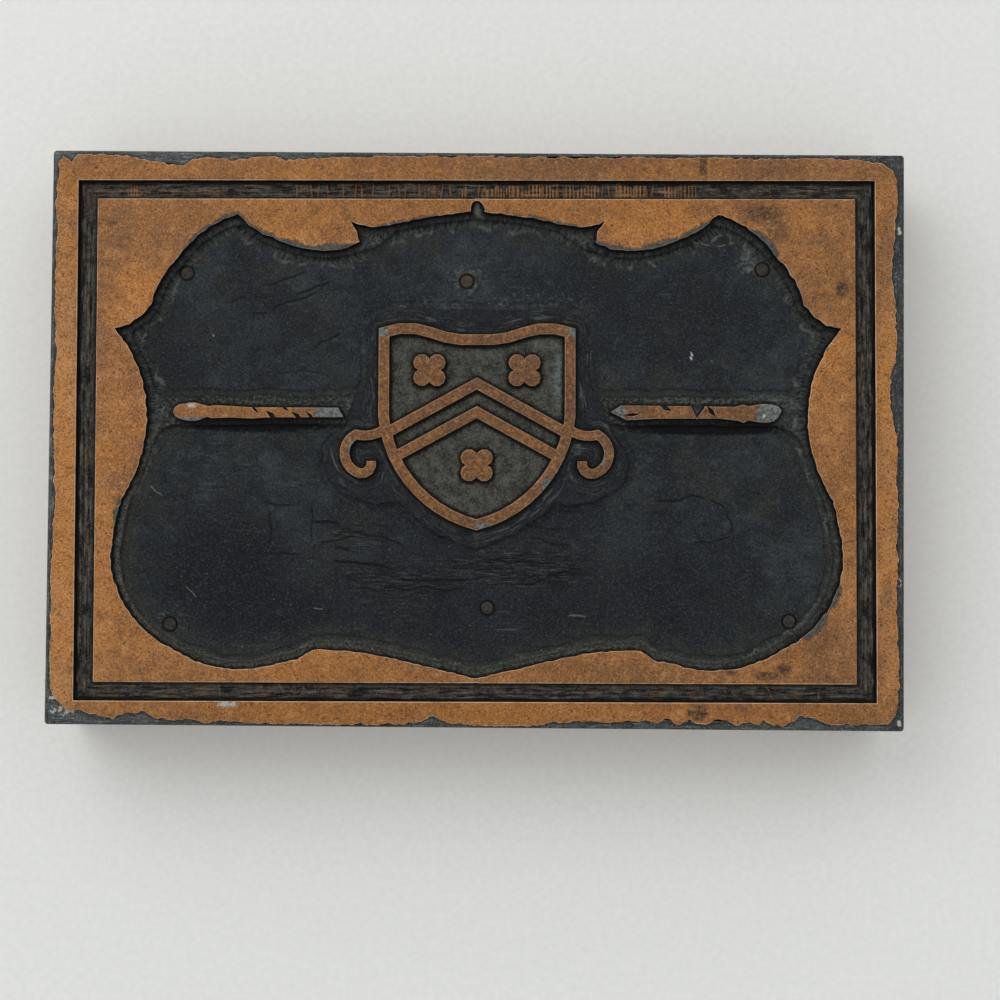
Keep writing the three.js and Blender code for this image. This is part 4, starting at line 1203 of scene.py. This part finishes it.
for start, end, most in chatter_runs:
    inside_run = smooth_step(start - 0.4, start + 0.4, border_x)
    inside_run *= smooth_step(end + 0.4, end - 0.4, border_x)
    chatter = np.maximum(chatter, most * inside_run)
chatter *= (border_y > 0) & ~on_end
tick = chatter * np.maximum(tooth_length * (0.2 + 0.8 * groups) * comb, 0.7 * rail)
bent_border_points = border_points + np.pad(0.3 * wander(border_points, 2.0, 57), ((0, 0), (0, 1)))
rub_broken = smooth_step(-0.6, 0.1, uneven(border_points, 1.2, 58))
for rub in channel_rubs:
    gap = gap_to_cut(bent_border_points, rub)[0]
    tick = np.maximum(tick, 0.44 * smooth_step(0.4, 0.08, gap) * rub_broken)
streak_lay = np.column_stack([across * 2.2, along * 0.3, np.zeros(len(along))])
border_points[:, 2] += floor_points * (0.12 * uneven(streak_lay, 1.0, 54) + 0.13 * tick)
rim_gap = nearest_on(border_points, rim_outline)[0]
loose = smooth_step(1.6, 0.0, rim_gap) * (across < -0.15)
fingers = smooth_step(30, 34, border_x) * smooth_step(62, 58, border_x) * (border_y < 0)
teeth = 0.3 + 0.8 * uneven(flat_points, 1.4, 11) + 0.7 * uneven(flat_points, 3.0, 12)
teeth = np.clip(teeth, 0, 1.4)
inward = np.where(on_end, -np.sign(border_x), 0), np.where(on_end, 0, -np.sign(border_y))
bite = nibble * loose * teeth * (1 + 1.6 * fingers)
border_points[:, 0] += inward[0] * bite
border_points[:, 1] += inward[1] * bite
border_points[:, :2] += (0.24 * loose[:, None]) * wander(border_points, 0.8, 13)
border_points[:, :2] += routed_drift(border_points, edge_gap, np.zeros(len(border_points)))
border_points[:, 0] = np.clip(border_points[:, 0], lead_low[0] + 0.15, lead_high[0] - 0.15)
border_points[:, 1] = np.clip(border_points[:, 1], lead_low[1] + 0.15, lead_high[1] - 0.15)
move_points(border, border_points)
scratch_gaps = [gap_to_cut(bent_border_points, scratch)[0] for scratch in copper_scratches]
give_measures(
    border,
    worn=np.clip(band - edge_gap, -3, 3),
    groove_across=across,
    groove_along=along,
    tick=tick,
    foot_gap=far_off,
    stain=patch_strength(border_points, stains),
    rubbed=patch_strength(border_points, rubbed_places),
    chip=patch_strength(border_points, [copper_bruise]),
    scratch=0.4 * smooth_step(0.22, 0.06, np.min(scratch_gaps, axis=0)),
    fresh=patch_strength(border_points, fresh_places),
)
round_off(border, 35)
border.data.materials.append(copper)
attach(border, BODY)
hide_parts("border_shell")

# Crest copper. The same grown copper covers the island with its raised ornament: a shield drawn
# in one even stroke, a chevron, three flowers and two scrolls. Only the top of each stroke prints
# and is bright; the ground between the strokes keeps its ink.
crest_spacing = 0.8
crest_middle = (0.2, 2.55)
shield_half = (16.6, 18.2)
crest_dullness = 0.62
crest_edge_round = 0.16
crest_worn = [
    (-17.0, 18.9, 1.5, 1.0, 0.9),
    (17.2, 19.1, 1.0, 1.2, 0.8),
    (1.6, -15.6, 2.4, 0.7, 0.8),
    (12.6, -8.5, 1.0, 2.6, 0.7),
    (-21.9, -2.0, 0.8, 1.8, 0.9),
    (22.4, -3.0, 0.7, 1.8, 0.9),
]
crest_haze = [(15.0, 11.5, 1.6, 6.0, 0.7), (12.5, 17.0, 3.0, 1.2, 0.5), (17.5, -1.0, 2.5, 2.0, 0.4)]


def raised_piece(node_name, name, spacing, dullness, worn_patches, haze_here):
    """A raised form in copper with inked ground, its plate's edge strayed like the lead's."""
    piece = copy_of_solid(node_name, name)
    top_outline = outline_points(piece, face_level)
    ease_edges(piece, face_level, crest_edge_round)
    square_up(piece, spacing, (0, 1), upward)
    split_squares(piece, 1, upward)
    mend_faces(piece)
    points = points_of(piece)
    in_ground = points[:, 2] < low_ground
    foot_gap, foot_spot = nearest_on(points, top_outline)
    low = smooth_step(wall_foot, face_level - 1.0, points[:, 2])
    wall_gap = nearest_on(points, cartouche_outline)[0]
    stray = routed_drift(points, wall_gap, foot_gap) * (points[:, 2] < field_level + 0.03)[:, None]
    points[:, 2] += low * (0.10 * uneven(points, 1.8, 21) + 0.06 * uneven(points, 0.9, 22))
    points[:, :2] += stray
    move_points(piece, points)
    give_lay(piece, "foot_lay", foot_spot, foot_gap)
    give_measures(
        piece,
        foot_gap=np.where(in_ground, foot_gap, foot_gap + 0.3),
        groove_across=far_off,
        groove_along=points[:, 0] + points[:, 1],
        worn=patch_strength(points, worn_patches) * 2 - 1.2,
        stain=dullness,
        haze=patch_strength(points, haze_here),
        dull_lip=1,
    )
    round_off(piece, 35)
    piece.data.materials.append(copper)
    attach(piece, BODY)
    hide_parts(node_name)
    return piece, points


crest, crest_points = raised_piece(
    "crest_shell", "crest_copper", crest_spacing, crest_dullness, crest_worn, crest_haze
)
aside = np.abs(crest_points[:, 0] - crest_middle[0]) / shield_half[0]
sunk = np.clip((4 - crest_points[:, 1]) / (shield_half[1] + 1.2), 0, 1)
beyond = smooth_step(-0.05, 0.05, aside - np.sqrt(np.clip(1 - sunk**1.6, 0, 1)))
beyond = np.maximum(beyond, smooth_step(18.6, 19.6, crest_points[:, 1]))
give_measures(crest, beyond_crest=beyond)

# Bars. Two narrow bars stand on the web beside the crest, each a strip of copper over a core
# of lead, nicked by the graver. Their tips stood highest and have worn through to the lead.
bar_spacing = 0.5
bar_dullness = {"left": 0.42, "right": 0.6}
bar_haze = {"left": [], "right": [(42.0, 7.0, 12.0, 0.7, 0.6)]}
bar_chip = {"left": (-50.5, 5.6, 0.9, 0.4, 0.7), "right": (51.1, 4.3, 0.25, 0.3, 0.9)}
bar_worn = {
    "left": [
        (-24.0, 4.9, 4.9, 4.0, 1.0),
        (-50.5, 3.0, 3.6, 0.55, 1.0),
        (-42.0, 3.1, 6.0, 0.3, 0.9),
    ],
    "right": [
        (55.0, 4.9, 5.6, 4.0, 1.0),
        (25.0, 4.7, 2.0, 2.0, 0.9),
        (29.0, 3.4, 3.4, 0.4, 0.9),
    ],
}
for side in ("left", "right"):
    bar, bar_points = raised_piece(
        side + "_bar_shell",
        side + "_bar_copper",
        bar_spacing,
        bar_dullness[side],
        bar_worn[side],
        bar_haze[side],
    )
    give_measures(bar, chip=patch_strength(bar_points, [bar_chip[side]]), beyond_crest=1)

# Brads. Six brads of soft iron hold the plate on the wood. Each has a small round head, set just
# proud of the routed floor, and a shank that tapers to a point in the wood.
iron_dark = (27, 28, 28)
iron_rust = (74, 54, 36)
iron_worn = (56, 56, 51)
head_radius = brad_head - 0.06
head_height = 0.5
head_sunk = 0.12
shank_radius = 0.7
shank_length = 10.5
point_length = 2.4
# The head is drawn in and raised a little in each of these steps: how far in, and how far up.
head_steps = ((0.12, 0.05), (0.3, 0.04), (0.35, 0.02), (0.3, 0.01))
brad_names = [
    "nail_top_left",
    "nail_top_middle",
    "nail_top_right",
    "nail_bottom_left",
    "nail_bottom_middle",
    "nail_bottom_right",
]


def brad_finish():
    """Soft iron under old ink and rust, with painted shade round the edge of the head."""
    material, tree, shader = new_finish("brad_iron", 0.6, metallic=0.2, specular=0.25)
    crust = mottle(tree, 0.5, 4, 0.75)
    ground = blend(tree, spread(tree, crust, 0.42, 0.62), iron_dark, iron_worn)
    spots = spread(tree, mottle(tree, 0.45, 3, 0.7, shift=(0.5, 0, 0)), 0.35, 0.6)
    rusty = times(tree, measure(tree, "rust"), spots)
    ground = blend(tree, rusty, ground, iron_rust)
    # painted shade round the edge of the head
    head_edge = spread(tree, measure(tree, "off_centre"), 0.82, 1.0, 0, 0.85)
    ground = blend(tree, head_edge, ground, crevice_shade_black)
    tree.links.new(ground, shader.inputs["Base Color"])
    tree.links.new(relief(tree, crust, 0.12), shader.inputs["Normal"])
    return material


brad_iron = brad_finish()
for number, nail_name in enumerate(brad_names):
    nail_low, nail_high = (np.array(c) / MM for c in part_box(nail_name))
    x, y = (nail_low[:2] + nail_high[:2]) / 2
    bpy.ops.object.select_all(action="DESELECT")
    bpy.ops.mesh.primitive_cylinder_add(
        vertices=40,
        radius=head_radius * MM,
        depth=head_height * MM,
        location=(x * MM, y * MM, (nail_high[2] - head_height / 2 - head_sunk) * MM),
    )
    brad = bpy.context.object
    brad.name = "brad" + nail_name[4:]
    brad.data.name = brad.name
    bpy.ops.object.transform_apply(location=True, rotation=True, scale=True)
    pick_faces(brad, lambda middles, normals: normals[:, 2] > 0.9)
    for inward_step, up in head_steps:
        bpy.ops.mesh.inset(thickness=inward_step * MM)
        bpy.ops.transform.translate(value=(0, 0, up * MM))
    bpy.ops.object.mode_set(mode="OBJECT")
    pick_faces(brad, lambda middles, normals: normals[:, 2] < -0.9)
    bpy.ops.mesh.inset(thickness=(head_radius - shank_radius) * MM)
    for drop in (shank_length, point_length):
        bpy.ops.mesh.extrude_region_move(TRANSFORM_OT_translate={"value": (0, 0, -drop * MM)})
    bpy.ops.transform.resize(value=(0.08, 0.08, 1), center_override=(x * MM, y * MM, 0))
    bpy.ops.object.mode_set(mode="OBJECT")
    brad_points = points_of(brad)
    from_middle = np.hypot(brad_points[:, 0] - x, brad_points[:, 1] - y)
    head = smooth_step(nail_high[2] - 0.8, nail_high[2] - 0.3, brad_points[:, 2])
    brad_points[:, 2] -= head * 0.08 * (1 + uneven(brad_points, 0.7, 30 + number))
    wobble = 1 - head * 0.05 * (1 + uneven(brad_points, 1.4, 40 + number))
    brad_points[:, 0] = x + (brad_points[:, 0] - x) * wobble
    brad_points[:, 1] = y + (brad_points[:, 1] - y) * wobble
    move_points(brad, brad_points)
    rust_here = 0.8 if nail_name == "nail_top_middle" else 0.1
    give_measures(brad, rust=rust_here, off_centre=from_middle / head_radius)
    round_off(brad, 35)
    brad.data.materials.append(brad_iron)
    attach(brad, BODY)
    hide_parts(nail_name)

# Studio. The block lies on a pale table under a large soft lamp above its upper left corner,
# and the camera hangs over it, square on to the printing face.
table_grey = (224, 225, 223)
paper_grey = (219, 221, 218)
room_level = 0.88
window_side = (-0.1, 0.27, 0.0)
lamp_place = (-0.42, 0.45, 0.75)
camera_place = (7.67, -23.42, 367.58)
camera_turn = (2.094, 0.525, 0.45)
bpy.ops.object.select_all(action="DESELECT")
bpy.ops.mesh.primitive_plane_add(size=3.0, location=(0, 0, 0))
table = bpy.context.object
table.name = "table_top"
paper, paper_tree, paper_shader = new_finish("table_paper", 0.9, specular=0.2)
paper_grain = spread(paper_tree, mottle(paper_tree, 1.2, 3), 0.3, 0.7)
paper_tone = blend(paper_tree, paper_grain, paper_grey, table_grey)
paper_tree.links.new(paper_tone, paper_shader.inputs["Base Color"])
table.data.materials.append(paper)

lamp = bpy.data.lights.new("soft_lamp", "AREA")
lamp.shape = "DISK"
lamp.size = 0.6
lamp.energy = 1.9
lamp_holder = bpy.data.objects.new("soft_lamp", lamp)
lamp_holder.location = lamp_place
lamp_aim = (Vector((0, 0, 0)) - lamp_holder.location).to_track_quat("-Z", "Y")
lamp_holder.rotation_euler = lamp_aim.to_euler()
bpy.context.scene.collection.objects.link(lamp_holder)

world = bpy.data.worlds.new("soft_room")
bpy.context.scene.world = world
world.use_nodes = True
room_tree = world.node_tree
room = room_tree.nodes["Background"]
room.inputs["Color"].default_value = (1, 1, 1, 1)
heading = node(room_tree, "TexCoord").outputs["Generated"]
toward = node(room_tree, "VectorMath", {0: heading, 1: window_side}, operation="DOT_PRODUCT")
glow = reckon(room_tree, "ADD", toward.outputs["Value"], room_level)
room_tree.links.new(glow, room.inputs["Strength"])

camera = bpy.data.cameras.new("camera")
camera.lens = 70
camera.sensor_width = 36
camera_holder = bpy.data.objects.new("camera", camera)
camera_holder.location = [c * MM for c in camera_place]
camera_holder.rotation_euler = [math.radians(a) for a in camera_turn]
bpy.context.scene.collection.objects.link(camera_holder)
bpy.context.scene.camera = camera_holder
bpy.context.scene.view_settings.view_transform = "Standard"
